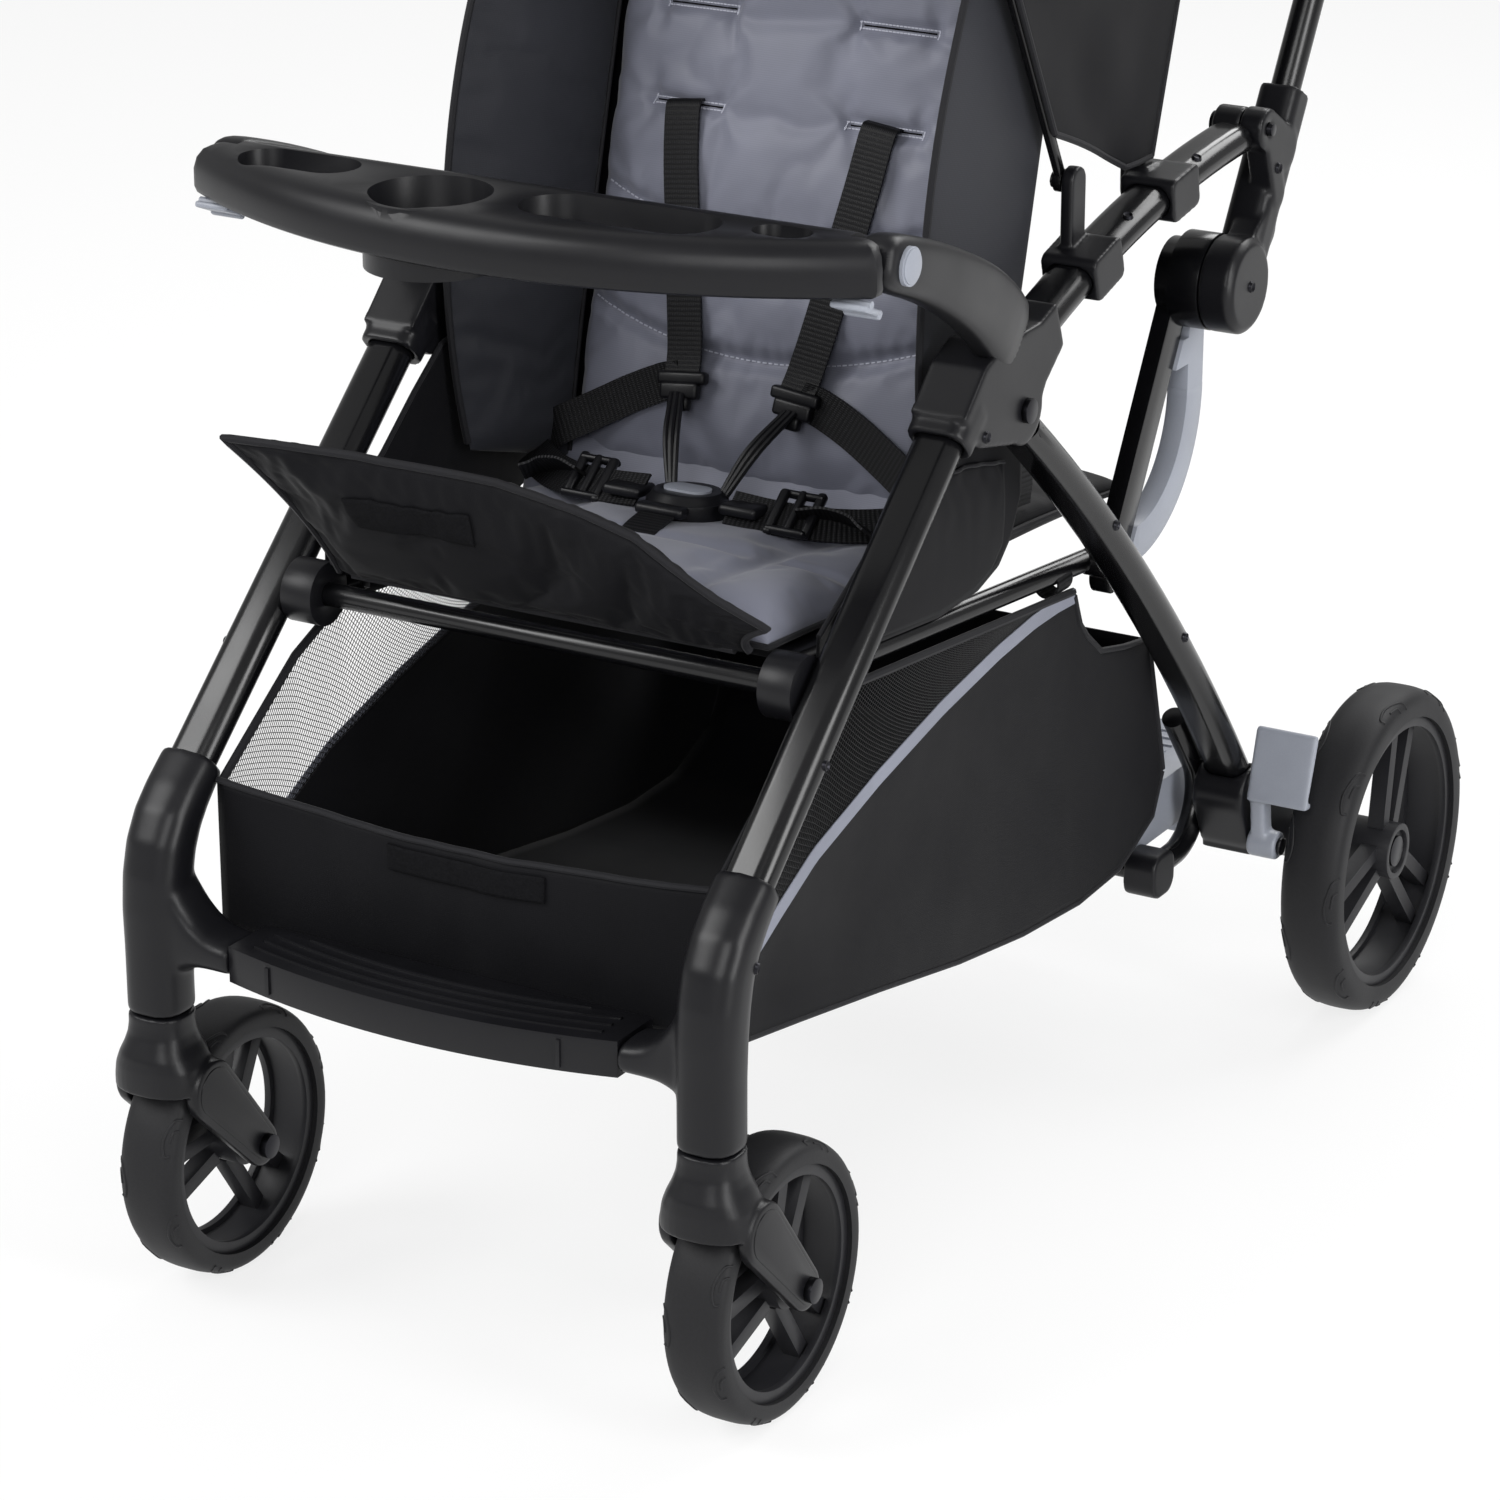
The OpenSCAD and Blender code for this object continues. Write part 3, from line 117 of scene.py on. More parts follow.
def put(tree: NodeTree, kind: str, settings: dict[str, Any] | None = None,
        inputs: dict[Any, Any] | None = None) -> bpy.types.Node:
    """Adds a node with its settings, and sets or links its inputs.

    Args:
        tree: node tree that takes the node.
        kind: Blender's name of the node type.
        settings: properties to set.
        inputs: values, or output sockets to link, by input name or number.

    Returns:
        The new node.
    """
    made = tree.nodes.new(kind)
    for key, value in (settings or {}).items():
        setattr(made, key, value)
    for key, value in (inputs or {}).items():
        if isinstance(value, bpy.types.NodeSocket):
            tree.links.new(value, made.inputs[key])
        else:
            made.inputs[key].default_value = value
    return made


class Grain(Enum):
    """How a surface was made, which sets its pattern."""

    POWDER = "powder coat, baked"
    MOULDED = "moulded in a spark-eroded tool"
    FOAM = "foamed, with a moulded skin"
    WOVEN = "plain weave"
    SATIN = "satin weave"
    RIBBED = "narrow weave with ribs"
    PILE = "loop pile"
    PLATED = "plated"


@dataclass(frozen=True)
class Finish:
    """A real material and how its surface was made.

    Attributes:
        name: common name of the material.
        grain: how its surface was made.
        colour: main colour.
        tint: colour of thread tops, worn spots or dust; on the webbing, a painted highlight on the rib tops.
        rough: roughness.
        size_mm: size of the pattern as drawn.
        depth_mm: depth of its relief.
        slot: material slot of the record; not used.
        sheen: share of cloth sheen.
        amount: how much of the tint shows.
        metallic: one for metal.
        gloss: specular level.
    """

    name: str
    grain: Grain
    colour: str
    tint: str
    rough: float
    size_mm: float
    depth_mm: float
    slot: str
    sheen: float = 0.0
    amount: float = 0.5
    metallic: float = 0.0
    gloss: float = 0.5

    def pattern(self, tree: NodeTree) -> bpy.types.NodeSocket:
        """Adds the nodes of the surface's relief.

        Args:
            tree: node tree of the material.

        Returns:
            Socket of the relief's height, which is the tint's share too.
        """
        place = put(tree, "ShaderNodeTexCoord")
        fine = 1 / (self.size_mm * MM)
        if self.grain in (Grain.WOVEN, Grain.SATIN, Grain.RIBBED):
            # Threads run along the piece's own map, which is laid out in metres
            wide = (1.0, 1.0) if self.grain is Grain.WOVEN else (0.55, 1.3)
            weft, warp = (put(tree, "ShaderNodeTexWave", {"bands_direction": axis}, {
                "Vector": place.outputs["UV"], "Scale": WAVE_SCALE * fine / w, "Distortion": 0.6,
                "Detail": 1.0}) for axis, w in zip("XY", wide))
            crossed = put(tree, "ShaderNodeMath", {"operation": "MULTIPLY"}, {
                0: weft.outputs["Fac"], 1: warp.outputs["Fac"]})
            return crossed.outputs[0]
        if self.grain is Grain.FOAM:
            cells = put(tree, "ShaderNodeTexVoronoi", {"feature": "SMOOTH_F1"}, {
                "Vector": place.outputs["Object"], "Scale": fine})
            return cells.outputs["Distance"]
        detail = 1.0 if self.grain in (Grain.POWDER, Grain.PLATED) else 4.0
        spots = put(tree, "ShaderNodeTexNoise", {}, {
            "Vector": place.outputs["Object"], "Scale": fine, "Detail": detail, "Roughness": 0.6})
        return spots.outputs["Fac"]

    def material(self) -> Material:
        """Builds the material once and returns it."""
        found = bpy.data.materials.get(self.name)
        if found:
            return found
        made = bpy.data.materials.new(self.name)
        made.use_nodes = True
        tree = made.node_tree
        tree.nodes.clear()
        height = self.pattern(tree)
        place = put(tree, "ShaderNodeTexCoord")
        # Slow drift over a hand's breadth, as handling and dust leave it
        drift = put(tree, "ShaderNodeTexNoise", {}, {
            "Vector": place.outputs["Object"], "Scale": 11.0, "Detail": 3.0, "Roughness": 0.55})
        # The tint follows the relief's height; on the webbing it paints a highlight on the rib tops.
        shown = put(tree, "ShaderNodeMath", {"operation": "MULTIPLY", "use_clamp": True}, {
            0: height, 1: self.amount})
        base = put(tree, "ShaderNodeMix", {"data_type": "RGBA"}, {
            0: shown.outputs[0], 6: srgb(self.colour), 7: srgb(self.tint)})
        aged = put(tree, "ShaderNodeHueSaturation", {}, {
            "Color": base.outputs[2],
            "Value": put(tree, "ShaderNodeMapRange", {}, {
                "Value": drift.outputs["Fac"], "From Min": 0.3, "From Max": 0.7, "To Min": 0.9,
                "To Max": 1.1}).outputs["Result"]})
        worn = put(tree, "ShaderNodeMapRange", {}, {
            "Value": drift.outputs["Fac"], "From Min": 0.3, "From Max": 0.7,
            "To Min": self.rough - 0.05, "To Max": self.rough + 0.06})
        relief = put(tree, "ShaderNodeBump", {}, {
            "Height": height, "Strength": 0.7, "Distance": self.depth_mm * MM})
        shader = put(tree, "ShaderNodeBsdfPrincipled", {}, {
            "Base Color": aged.outputs["Color"], "Roughness": worn.outputs["Result"],
            "Normal": relief.outputs["Normal"], "Metallic": self.metallic, "Specular IOR Level": self.gloss,
            "Sheen Weight": self.sheen, "Sheen Roughness": 0.45})
        put(tree, "ShaderNodeOutputMaterial", {}, {"Surface": shader.outputs["BSDF"]})
        return made


# Steel tube, powder coated: a smooth satin-gloss black with faint orange peel
POWDER_COAT = Finish("powder_coated_steel", Grain.POWDER, "#08080a", "#0e0e10", 0.22, 1.6, 0.02, "tube_black",
                     gloss=0.42)
# Charcoal ABS from a spark-eroded tool: fine grain, a broad soft highlight
BLACK_ABS = Finish("moulded_charcoal_abs", Grain.MOULDED, "#0f0f12", "#17171a", 0.36, 1.1, 0.05,
                   "black_plastic", gloss=0.28)
# Light cool grey ABS, satin
GREY_ABS = Finish("moulded_grey_abs", Grain.MOULDED, "#868a94", "#979ba4", 0.4, 1.2, 0.04, "grey_plastic")
# Nylon rim, a shade lighter than the tyre
RIM_NYLON = Finish("moulded_rim_nylon", Grain.MOULDED, "#1b1b1e", "#262629", 0.45, 1.2, 0.06, "rim_plastic",
                   gloss=0.3)
# Foamed polyurethane tyre: a matte skin with fine pores
TYRE_FOAM = Finish("polyurethane_foam_tyre", Grain.FOAM, "#141416", "#202023", 0.56, 1.6, 0.06, "tyre_foam",
                   gloss=0.3)
# Foam grip: open, soft and dull
GRIP_FOAM = Finish("eva_foam_grip", Grain.FOAM, "#151517", "#232326", 0.82, 1.8, 0.12, "foam_grip")
# Satin polyester of the seat's middle: blue-grey, silky; threads drawn at 1.1 mm so that they show
SEAT_SATIN = Finish("satin_polyester_blue_grey", Grain.SATIN, "#6f717e", "#848693", 0.5, 1.1, 0.05,
                    "seat_cloth", sheen=0.2, gloss=0.35)
# Black woven polyester of canopy, basket, seat sides, leg flap and bench; threads drawn at 1.3 mm to show
BLACK_WEAVE = Finish("woven_polyester_black", Grain.WOVEN, "#09090c", "#141419", 0.6, 1.3, 0.07,
                     "black_cloth", sheen=0.04, gloss=0.12)
# Charcoal woven polyester of the side wings, a shade lighter than the black
WING_WEAVE = Finish("woven_polyester_charcoal", Grain.WOVEN, "#232429", "#303138", 0.62, 1.3, 0.07,
                    "black_cloth", sheen=0.08, gloss=0.2)
# Binding tape and piping over a cord
BINDING = Finish("black_binding_tape", Grain.MOULDED, "#131316", "#202024", 0.66, 1.4, 0.12,
                 "black_cloth", sheen=0.06, gloss=0.2)
# Polypropylene webbing: coarse ribs whose thread tops catch the light, the lighter tint on them a painted
# highlight
WEBBING = Finish("polypropylene_webbing", Grain.RIBBED, "#060607", "#2a2a2d", 0.5, 2.6, 0.5,
                 "webbing", amount=0.9, gloss=0.2)
# Light grey trim tape on the basket
TRIM_TAPE = Finish("grey_trim_tape", Grain.WOVEN, "#757884", "#878a95", 0.55, 1.2, 0.06, "grey_plastic")
# Hook-and-loop patches; the same near-black also paints the shade inside the harness slots' slits
LOOP_PILE_AND_SLOT_SHADE = Finish("nylon_loop_pile_and_slot_shade", Grain.PILE, "#030304", "#232326", 0.9, 1.8, 0.9, "webbing", gloss=0.1)
# Knitted polyester net
NET = Finish("polyester_net_black", Grain.MOULDED, "#101012", "#1d1d20", 0.6, 1.0, 0.05, "black_cloth")
# Zinc-plated steel of the drum pins and the hinge rod
ZINC = Finish("zinc_plated_steel", Grain.PLATED, "#8c8d90", "#a5a6a8", 0.32, 0.9, 0.02, "steel", metallic=1.0)
# Black-oxide steel of screws, pins and the rear axle
BLACK_OXIDE = Finish("black_oxide_steel", Grain.PLATED, "#26262a", "#3a3a3e", 0.34, 0.8, 0.02,
                     "steel", metallic=1.0)
# Pale polyester sewing thread
THREAD = Finish("pale_sewing_thread", Grain.MOULDED, "#a9abb8", "#bdbfca", 0.6, 0.8, 0.05, "seat_cloth")


@dataclass(frozen=True)
class Leaning:
    """A frame turned about X, such as the seat's or the backrest's.

    Attributes:
        origin: its y and z in millimetres.
        angle: its turn toward the back, in degrees.
    """

    origin: tuple[float, float]
    angle: float

    def at(self, x: float, run: float, rise: float) -> Vector:
        """Point in metres.

        Args:
            x: across, in millimetres.
            run: along the frame's first axis, toward the back.
            rise: along its second axis, upward.

        Returns:
            The point in the stroller's frame.
        """
        c, s = math.cos(math.radians(self.angle)), math.sin(math.radians(self.angle))
        return Vector((x, self.origin[0] + run * c + rise * s, self.origin[1] + rise * c - run * s)) * MM


SEAT = Leaning((-335.75, 469.83), 5.6)
BACK = Leaning((-54.14, 462.31), 14.7)
Place = Callable[[float, float], Vector]
Pairs = tuple[tuple[float, float], ...]
Rows = tuple[tuple[float, ...], ...]


def mix(a: float, b: float, w: float) -> float:
    """Value between a and b."""
    return a + (b - a) * w


def line(table: Sequence[tuple[float, float]], x: float) -> float:
    """Value of a table of pairs at x, straight between its points.

    Args:
        table: pairs in rising order of the first number.
        x: where to read it.

    Returns:
        The value there, held level outside the table.
    """
    if x <= table[0][0]:
        return table[0][1]
    for (x0, y0), (x1, y1) in zip(table, table[1:]):
        if x <= x1:
            return mix(y0, y1, (x - x0) / (x1 - x0))
    return table[-1][1]


def path(points: Sequence[Vector], steps: int = 8) -> list[Vector]:
    """Smooth run through points.

    Args:
        points: the points to pass.
        steps: points made for each span.

    Returns:
        Points along the smooth run.
    """
    ends = [2 * points[0] - points[1], *points, 2 * points[-1] - points[-2]]
    run: list[Vector] = []
    for a, b, c, d in zip(ends, ends[1:], ends[2:], ends[3:]):
        for k in range(steps):
            w = k / steps
            run.append(0.5 * ((2 * b) + (c - a) * w + (2 * a - 5 * b + 4 * c - d) * w * w
                              + (3 * b - a - 3 * c + d) * w ** 3))
    return [*run, points[-1].copy()]


def sheet_mesh(nu: int, nv: int, place: Place, size: tuple[float, float]) -> BMesh:
    """Open sheet bent from a flat grid.

    Args:
        nu: faces across.
        nv: faces along.
        place: where the grid's point u, v from -1 to 1 goes.
        size: width and length of the cloth in millimetres, for its thread map.

    Returns:
        The bent sheet.
    """
    bm = bmesh.new()
    bmesh.ops.create_grid(bm, x_segments=nu, y_segments=nv, size=1.0)
    threads = bm.loops.layers.uv.new("threads")
    for face in bm.faces:
        for loop in face.loops:
            loop[threads].uv = (loop.vert.co.x * size[0] / 2 * MM, loop.vert.co.y * size[1] / 2 * MM)
    for vert in bm.verts:
        vert.co = place(vert.co.x, vert.co.y)
    return bm


def pillow_mesh(nu: int, nv: int, place: Callable[[float, float, float], Vector],
                size: tuple[float, float]) -> BMesh:
    """Closed stuffed form: two sheets sewn together along their edge.

    Args:
        nu: faces across.
        nv: faces along.
        place: where the point u, v from -1 to 1 of side 1 or -1 goes; both sides meet on the edge.
        size: width and length of the cloth in millimetres, for its thread map.

    Returns:
        The closed form, with u, v and side kept on its vertices.
    """
    bm = bmesh.new()
    bmesh.ops.create_grid(bm, x_segments=nu, y_segments=nv, size=1.0)
    threads = bm.loops.layers.uv.new("threads")
    layers = [bm.verts.layers.float.new(n) for n in ("u", "v", "side")]
    for vert in bm.verts:
        vert[layers[0]], vert[layers[1]], vert[layers[2]] = vert.co.x, vert.co.y, 1.0
    copy = bmesh.ops.duplicate(bm, geom=bm.verts[:] + bm.edges[:] + bm.faces[:])["geom"]
    for part in copy:
        if isinstance(part, bmesh.types.BMVert):
            part[layers[2]] = -1.0
    for face in bm.faces:
        for loop in face.loops:
            loop[threads].uv = [loop.vert[layer] * full / 2 * MM for layer, full in zip(layers, size)]
    bmesh.ops.reverse_faces(bm, faces=[f for f in copy if isinstance(f, bmesh.types.BMFace)])
    edge = [v for v in bm.verts if v.is_boundary]
    for vert in bm.verts:
        vert.co = place(vert[layers[0]], vert[layers[1]], vert[layers[2]])
    bmesh.ops.remove_doubles(bm, verts=edge, dist=2e-5)
    bmesh.ops.recalc_face_normals(bm, faces=bm.faces[:])
    return bm


def lathe_mesh(profile: Sequence[tuple[float, float]], centre: Vector, steps: int) -> BMesh:
    """Form turned about the X axis through a point.

    Args:
        profile: pairs of radius and place along X, in millimetres.
        centre: point on the axis, in metres.
        steps: faces round the turn.

    Returns:
        The turned form.
    """
    bm = bmesh.new()
    run = [bm.verts.new((a * MM, 0.0, r * MM)) for r, a in profile]
    rim = [bm.edges.new(pair) for pair in zip(run, run[1:])]
    bmesh.ops.spin(bm, geom=run + rim, cent=(0, 0, 0), axis=(1, 0, 0), angle=2 * math.pi, steps=steps,
                   use_merge=True, use_duplicate=False)
    bmesh.ops.remove_doubles(bm, verts=bm.verts[:], dist=1e-6)
    bmesh.ops.recalc_face_normals(bm, faces=bm.faces[:])
    bmesh.ops.translate(bm, verts=bm.verts[:], vec=centre)
    return bm


def add_tube(bm: BMesh, points: Sequence[Vector], radius: float, closed: bool = False) -> None:
    """Adds a round cord along points to a bmesh.

    Args:
        bm: mesh that takes it.
        points: its middle line, in metres.
        radius: in millimetres.
        closed: whether it joins its own start.
    """
    curve = bpy.data.curves.new("run", "CURVE")
    curve.dimensions = "3D"
    curve.bevel_depth, curve.bevel_resolution, curve.use_fill_caps = radius * MM, 2, True
    spline = curve.splines.new("POLY")
    spline.points.add(len(points) - 1)
    spline.use_cyclic_u = closed
    for knot, point in zip(spline.points, points):
        knot.co = (*point, 1.0)
    holder = bpy.data.objects.new("run", curve)
    bpy.context.scene.collection.objects.link(holder)
    mesh = bpy.data.meshes.new_from_object(holder.evaluated_get(bpy.context.evaluated_depsgraph_get()))
    bm.from_mesh(mesh)
    bpy.data.objects.remove(holder)
    bpy.data.meshes.remove(mesh)
    bpy.data.curves.remove(curve)


def add_ribbon(bm: BMesh, points: Sequence[Vector], across: Sequence[Vector], width: float,
               thick: float) -> None:
    """Adds flat webbing along points to a bmesh.

    Args:
        bm: mesh that takes it.
        points: its middle line, in metres.
        across: unit direction of its width at each point.
        width: in millimetres.
        thick: in millimetres.
    """
    threads = bm.loops.layers.uv.get("threads") or bm.loops.layers.uv.new("threads")
    known = set(bm.verts)
    bmesh.ops.create_grid(bm, x_segments=4, y_segments=len(points) - 1, size=1.0)
    fresh = [v for v in bm.verts if v not in known]
    rows = sorted({round(v.co.y, 5) for v in fresh})
    far = [0.0]
    for a, b in zip(points, points[1:]):
        far.append(far[-1] + (b - a).length)
    spot = {v: (v.co.x, rows.index(round(v.co.y, 5))) for v in fresh}
    faces = {f for v in fresh for f in v.link_faces}
    for face in faces:
        for loop in face.loops:
            u, k = spot[loop.vert]
            loop[threads].uv = (u * width / 2 * MM, far[k])
    for vert, (u, k) in spot.items():
        vert.co = points[k] + across[k] * (u * width / 2 * MM)
    bmesh.ops.recalc_face_normals(bm, faces=list(faces))
    bmesh.ops.solidify(bm, geom=list(faces), thickness=thick * MM)


def add_screw(bm: BMesh, centre: Vector, axis: Vector, wide: float, high: float = 2.2) -> None:
    """Adds a domed screw head with a round drive to a bmesh.

    Args:
        bm: mesh that takes it.
        centre: middle of its seat, in metres.
        axis: direction it faces.
        wide: diameter of the head, in millimetres.
        high: height of the head, in millimetres.
    """
    turn = axis.to_track_quat("Z", "Y").to_matrix().to_4x4()
    spot = Matrix.Translation(centre + axis * (high / 2 * MM)) @ turn
    made = bmesh.ops.create_cone(bm, cap_ends=True, segments=24, radius1=wide / 2 * MM,
                                 radius2=wide * 0.4 * MM, depth=high * MM, matrix=spot)["verts"]
    top = max({f for v in made for f in v.link_faces}, key=lambda f: f.normal.dot(axis))
    bmesh.ops.inset_region(bm, faces=[top], thickness=wide * 0.17 * MM)
    bmesh.ops.translate(bm, verts=top.verts[:], vec=-axis * high * 0.55 * MM)


def seat_screw(bm: BMesh, tree: BVHTree, s: float, y: float, z: float, wide: float) -> None:
    """Adds a screw to a bmesh where a ray from the side meets a surface.

    Args:
        bm: mesh that takes it.
        tree: the surface that it sits on.
        s: side, -1 for the left and 1 for the right.
        y: its place along the stroller, in millimetres.
        z: its height, in millimetres.
        wide: diameter of the head, in millimetres.
    """
    seat, out, _, _ = tree.ray_cast(Vector((s * RAY_START, y * MM, z * MM)), Vector((-s, 0, 0)))
    if seat:
        add_screw(bm, seat - out * SCREW_SINK, out, wide)


def bevel_edges(bm: BMesh, edges: set[bmesh.types.BMEdge], radius: float) -> None:
    """Rounds edges of a bmesh to a radius in millimetres."""
    bmesh.ops.bevel(bm, geom=list(edges), offset=radius * MM, offset_type="OFFSET", affect="EDGES",
                    segments=3, profile=0.5, material=-1)


def add_block(bm: BMesh, centre: Vector, size: tuple[float, float, float], lean: float, roll: float = 0.0,
              edge: float = 2.6) -> None:
    """Adds a small moulded block with rounded edges to a bmesh.

    Args:
        bm: mesh that takes it.
        centre: its middle, in metres.
        size: across, deep and tall, in millimetres.
        lean: turn about X, in degrees.
        roll: turn about its own depth, in degrees.
        edge: radius of its edges, in millimetres.
    """
    turn = Matrix.Rotation(math.radians(lean), 4, "X") @ Matrix.Rotation(math.radians(roll), 4, "Y")
    scale = Matrix.Diagonal((size[0] * MM, size[1] * MM, size[2] * MM, 1.0))
    made = bmesh.ops.create_cube(bm, size=1.0, matrix=Matrix.Translation(centre) @ turn @ scale)["verts"]
    bevel_edges(bm, {e for v in made for e in v.link_edges}, edge)


def add_drum(bm: BMesh, middle: Sequence[float], radius: float, wide: float, steps: int,
             capped: bool = False) -> list[bmesh.types.BMVert]:
    """Adds a drum along X to a bmesh.

    Args:
        bm: mesh that takes it.
        middle: its middle, in millimetres.
        radius: in millimetres.
        wide: its width, in millimetres.
        steps: faces round it.
        capped: whether its ends are closed.

    Returns:
        Its vertices.
    """
    spot = Matrix.Translation(Vector(middle) * MM) @ Matrix.Rotation(math.pi / 2, 4, "Y")
    return bmesh.ops.create_cone(bm, cap_ends=capped, segments=steps, radius1=radius * MM,
                                 radius2=radius * MM, depth=wide * MM, matrix=spot)["verts"]


def spine_rings(spine: Rows, s: float) -> list[tuple[Vector, Vector, Vector]]:
    """Rings of a form that bends in side view, for add_loft.

    Args:
        spine: x, y, z, half width and half depth from one end to the other, in millimetres.
        s: side, -1 for the left and 1 for the right.

    Returns:
        For each ring its middle and its two half axes, in metres.
    """
    rings = []
    for k, (x, y, z, wide, deep) in enumerate(spine):
        a, b = spine[max(0, k - 1)], spine[min(len(spine) - 1, k + 1)]
        run = Vector((0, b[1] - a[1], b[2] - a[2])).normalized()
        rings.append((Vector((s * x, y, z)) * MM, Vector((wide * MM, 0, 0)),
                      run.cross(Vector((1, 0, 0))) * (deep * MM)))
    return rings


def add_loft(bm: BMesh, rings: Sequence[tuple[Vector, Vector, Vector]], square: float = 2.6) -> None:
    """Adds a closed form drawn over rings to a bmesh.

    Args:
        bm: mesh that takes it.
        rings: for each ring its middle and its two half axes, in metres.
        square: 2 for ovals, more for squarer rings.
    """
    last: list[bmesh.types.BMEdge] = []
    for k, (middle, wide, deep) in enumerate(rings):
        capped = k in (0, len(rings) - 1)
        made = bmesh.ops.create_circle(bm, cap_ends=capped, segments=40, radius=1.0)["verts"]
        edges = list({e for v in made for e in v.link_edges})
        for vert in made:
            c, d = vert.co.x, vert.co.y
            size = (abs(c) ** square + abs(d) ** square) ** (-1 / square)
            vert.co = middle + wide * (c * size) + deep * (d * size)
        if last:
            bmesh.ops.bridge_loops(bm, edges=last + edges)
        last = edges


def add_stitches(bm: BMesh, points: Sequence[Vector], out: Vector, long: float = 2.8,
                 gap: float = 1.6) -> None:
    """Adds a run of sewing thread along points to a bmesh, a short bar for each stitch.

    Args:
        bm: mesh that takes it.
        points: run of the seam, in metres.
        out: direction the cloth faces.
        long: length of a stitch, in millimetres.
        gap: cloth between stitches, in millimetres.
    """
    due = 0.0
    for a, b in zip(points, points[1:]):
        step = (b - a).length / MM
        while due < step:
            spot = a.lerp(b, due / step)
            side = (b - a).normalized()
            up = (out - side * out.dot(side)).normalized()
            turn = Matrix((side, up.cross(side), up)).transposed().to_4x4()
            size = Matrix.Diagonal((long * MM, STITCH[0] * MM, STITCH[1] * MM, 1.0))
            bmesh.ops.create_cube(bm, size=1.0, matrix=Matrix.Translation(spot) @ turn @ size)
            due += long + gap
        due -= step


def piece(name: str, bm: BMesh, finish: Finish, sharp: float = 40.0) -> Object:
    """Makes a bmesh an object with its finish.

    Args:
        name: name of the piece.
        bm: its mesh, which is freed.
        finish: its material.
        sharp: angle in degrees past which an edge stays sharp.

    Returns:
        The new object at the origin.
    """
    mesh = bpy.data.meshes.new(name)
    bm.to_mesh(mesh)
    bm.free()
    mesh.materials.append(finish.material())
    mesh.shade_smooth()
    mesh.set_sharp_from_angle(angle=math.radians(sharp))
    made = bpy.data.objects.new(name, mesh)
    bpy.context.scene.collection.objects.link(made)
    LOG.info("made %s, %d faces", name, len(mesh.polygons))
    return made


def settle(obj: Object) -> None:
    """Applies the object's modifiers to its mesh."""
    bpy.context.view_layer.update()
    shown = obj.evaluated_get(bpy.context.evaluated_depsgraph_get())
    mesh = bpy.data.meshes.new_from_object(shown, preserve_all_data_layers=True,
                                           depsgraph=bpy.context.evaluated_depsgraph_get())
    obj.modifiers.clear()
    obj.data = mesh


def thicken(obj: Object, thick: float) -> None:
    """Gives a sheet its thickness, in millimetres."""
    wall = obj.modifiers.new("Thickness", "SOLIDIFY")
    wall.thickness, wall.offset, wall.use_rim = thick * MM, 0.0, True
    settle(obj)


def soften(obj: Object) -> None:
    """Rounds a mesh by subdivision."""
    finer = obj.modifiers.new("Round", "SUBSURF")
    finer.levels = finer.render_levels = 1
    settle(obj)


def add_grid(obj: Object, voxel: float) -> None:
    """Has an object drawn again on an even grid, its cell in millimetres."""
    grid = obj.modifiers.new("Grid", "REMESH")
    grid.mode, grid.voxel_size, grid.use_smooth_shade = "VOXEL", voxel * MM, True


def add_radii(obj: Object, rounds: int) -> None:
    """Runs an object's forms into one another by rounds of smoothing, as its tool's radii do."""
    blend = obj.modifiers.new("Radii", "SMOOTH")
    blend.factor, blend.iterations = 0.5, rounds


def edge_run(steps: int = 20) -> list[tuple[float, float]]:
    """Pairs u, v once round the sewn edge of a stuffed form."""
    way = [k / steps for k in range(-steps, steps + 1)]
    run = [(k, -1.0) for k in way] + [(1.0, k) for k in way[1:]]
    return run + [(-k, 1.0) for k in way[1:]] + [(-1.0, -k) for k in way[1:-1]]


def puff(obj: Object, held: Callable[[float, float, float], bool], pressure: float, swell: float,
         cap: float) -> None:
    """Stuffs a sewn form by cloth simulation and keeps the result.

    Args:
        obj: the piece, made by pillow_mesh.
        held: whether the point u, v, side is sewn down.
        pressure: stuffing pressure.
        swell: share by which the cloth is cut larger than its frame, which gathers it at the seams.
        cap: furthest that a point may move, in millimetres.
    """
    names = ("u", "v", "side")
    marks = [[d.value for d in obj.data.attributes[n].data] for n in names]
    before = [v.co.copy() for v in obj.data.vertices]
    seam = obj.vertex_groups.new(name="seam")
    seam.add([i for i, m in enumerate(zip(*marks)) if held(*m)], 1.0, "REPLACE")
    cloth = obj.modifiers.new("Cloth", "CLOTH")
    rules = cloth.settings
    rules.quality, rules.mass, rules.air_damping = 6, 0.25, 3.0
    rules.tension_stiffness = rules.compression_stiffness = 18.0
    rules.shear_stiffness, rules.bending_stiffness = 8.0, 0.35
    rules.vertex_group_mass, rules.pin_stiffness = "seam", 1.0
    rules.use_pressure, rules.uniform_pressure_force = True, pressure
    rules.shrink_min = -swell
    rules.effector_weights.gravity = 0.0
    cloth.collision_settings.use_collision = False
    cloth.point_cache.frame_start, cloth.point_cache.frame_end = 1, CLOTH_FRAMES
    for frame in range(1, CLOTH_FRAMES + 1):
        bpy.context.scene.frame_set(frame)
    settle(obj)
    bpy.context.scene.frame_set(1)
    obj.vertex_groups.clear()
    for vert, rest in zip(obj.data.vertices, before):
        move = vert.co - rest
        if move.length > cap * MM:
            vert.co = rest + move.normalized() * cap * MM
    for name in names:
        obj.data.attributes.remove(obj.data.attributes[name])


def falloff(u: float, v: float, power: float = 8.0) -> float:
    """Height of a stuffed form over its sewn edge, one in the middle and nought on the edge."""
    return math.sqrt(max(0.0, 1 - abs(u) ** power)) * math.sqrt(max(0.0, 1 - abs(v) ** power))


def dip(distance: float, half: float) -> float:
    """Depth of a sewn line, one on the line and nought at half away."""
    return 0.5 + 0.5 * math.cos(math.pi * distance / half) if abs(distance) < half else 0.0


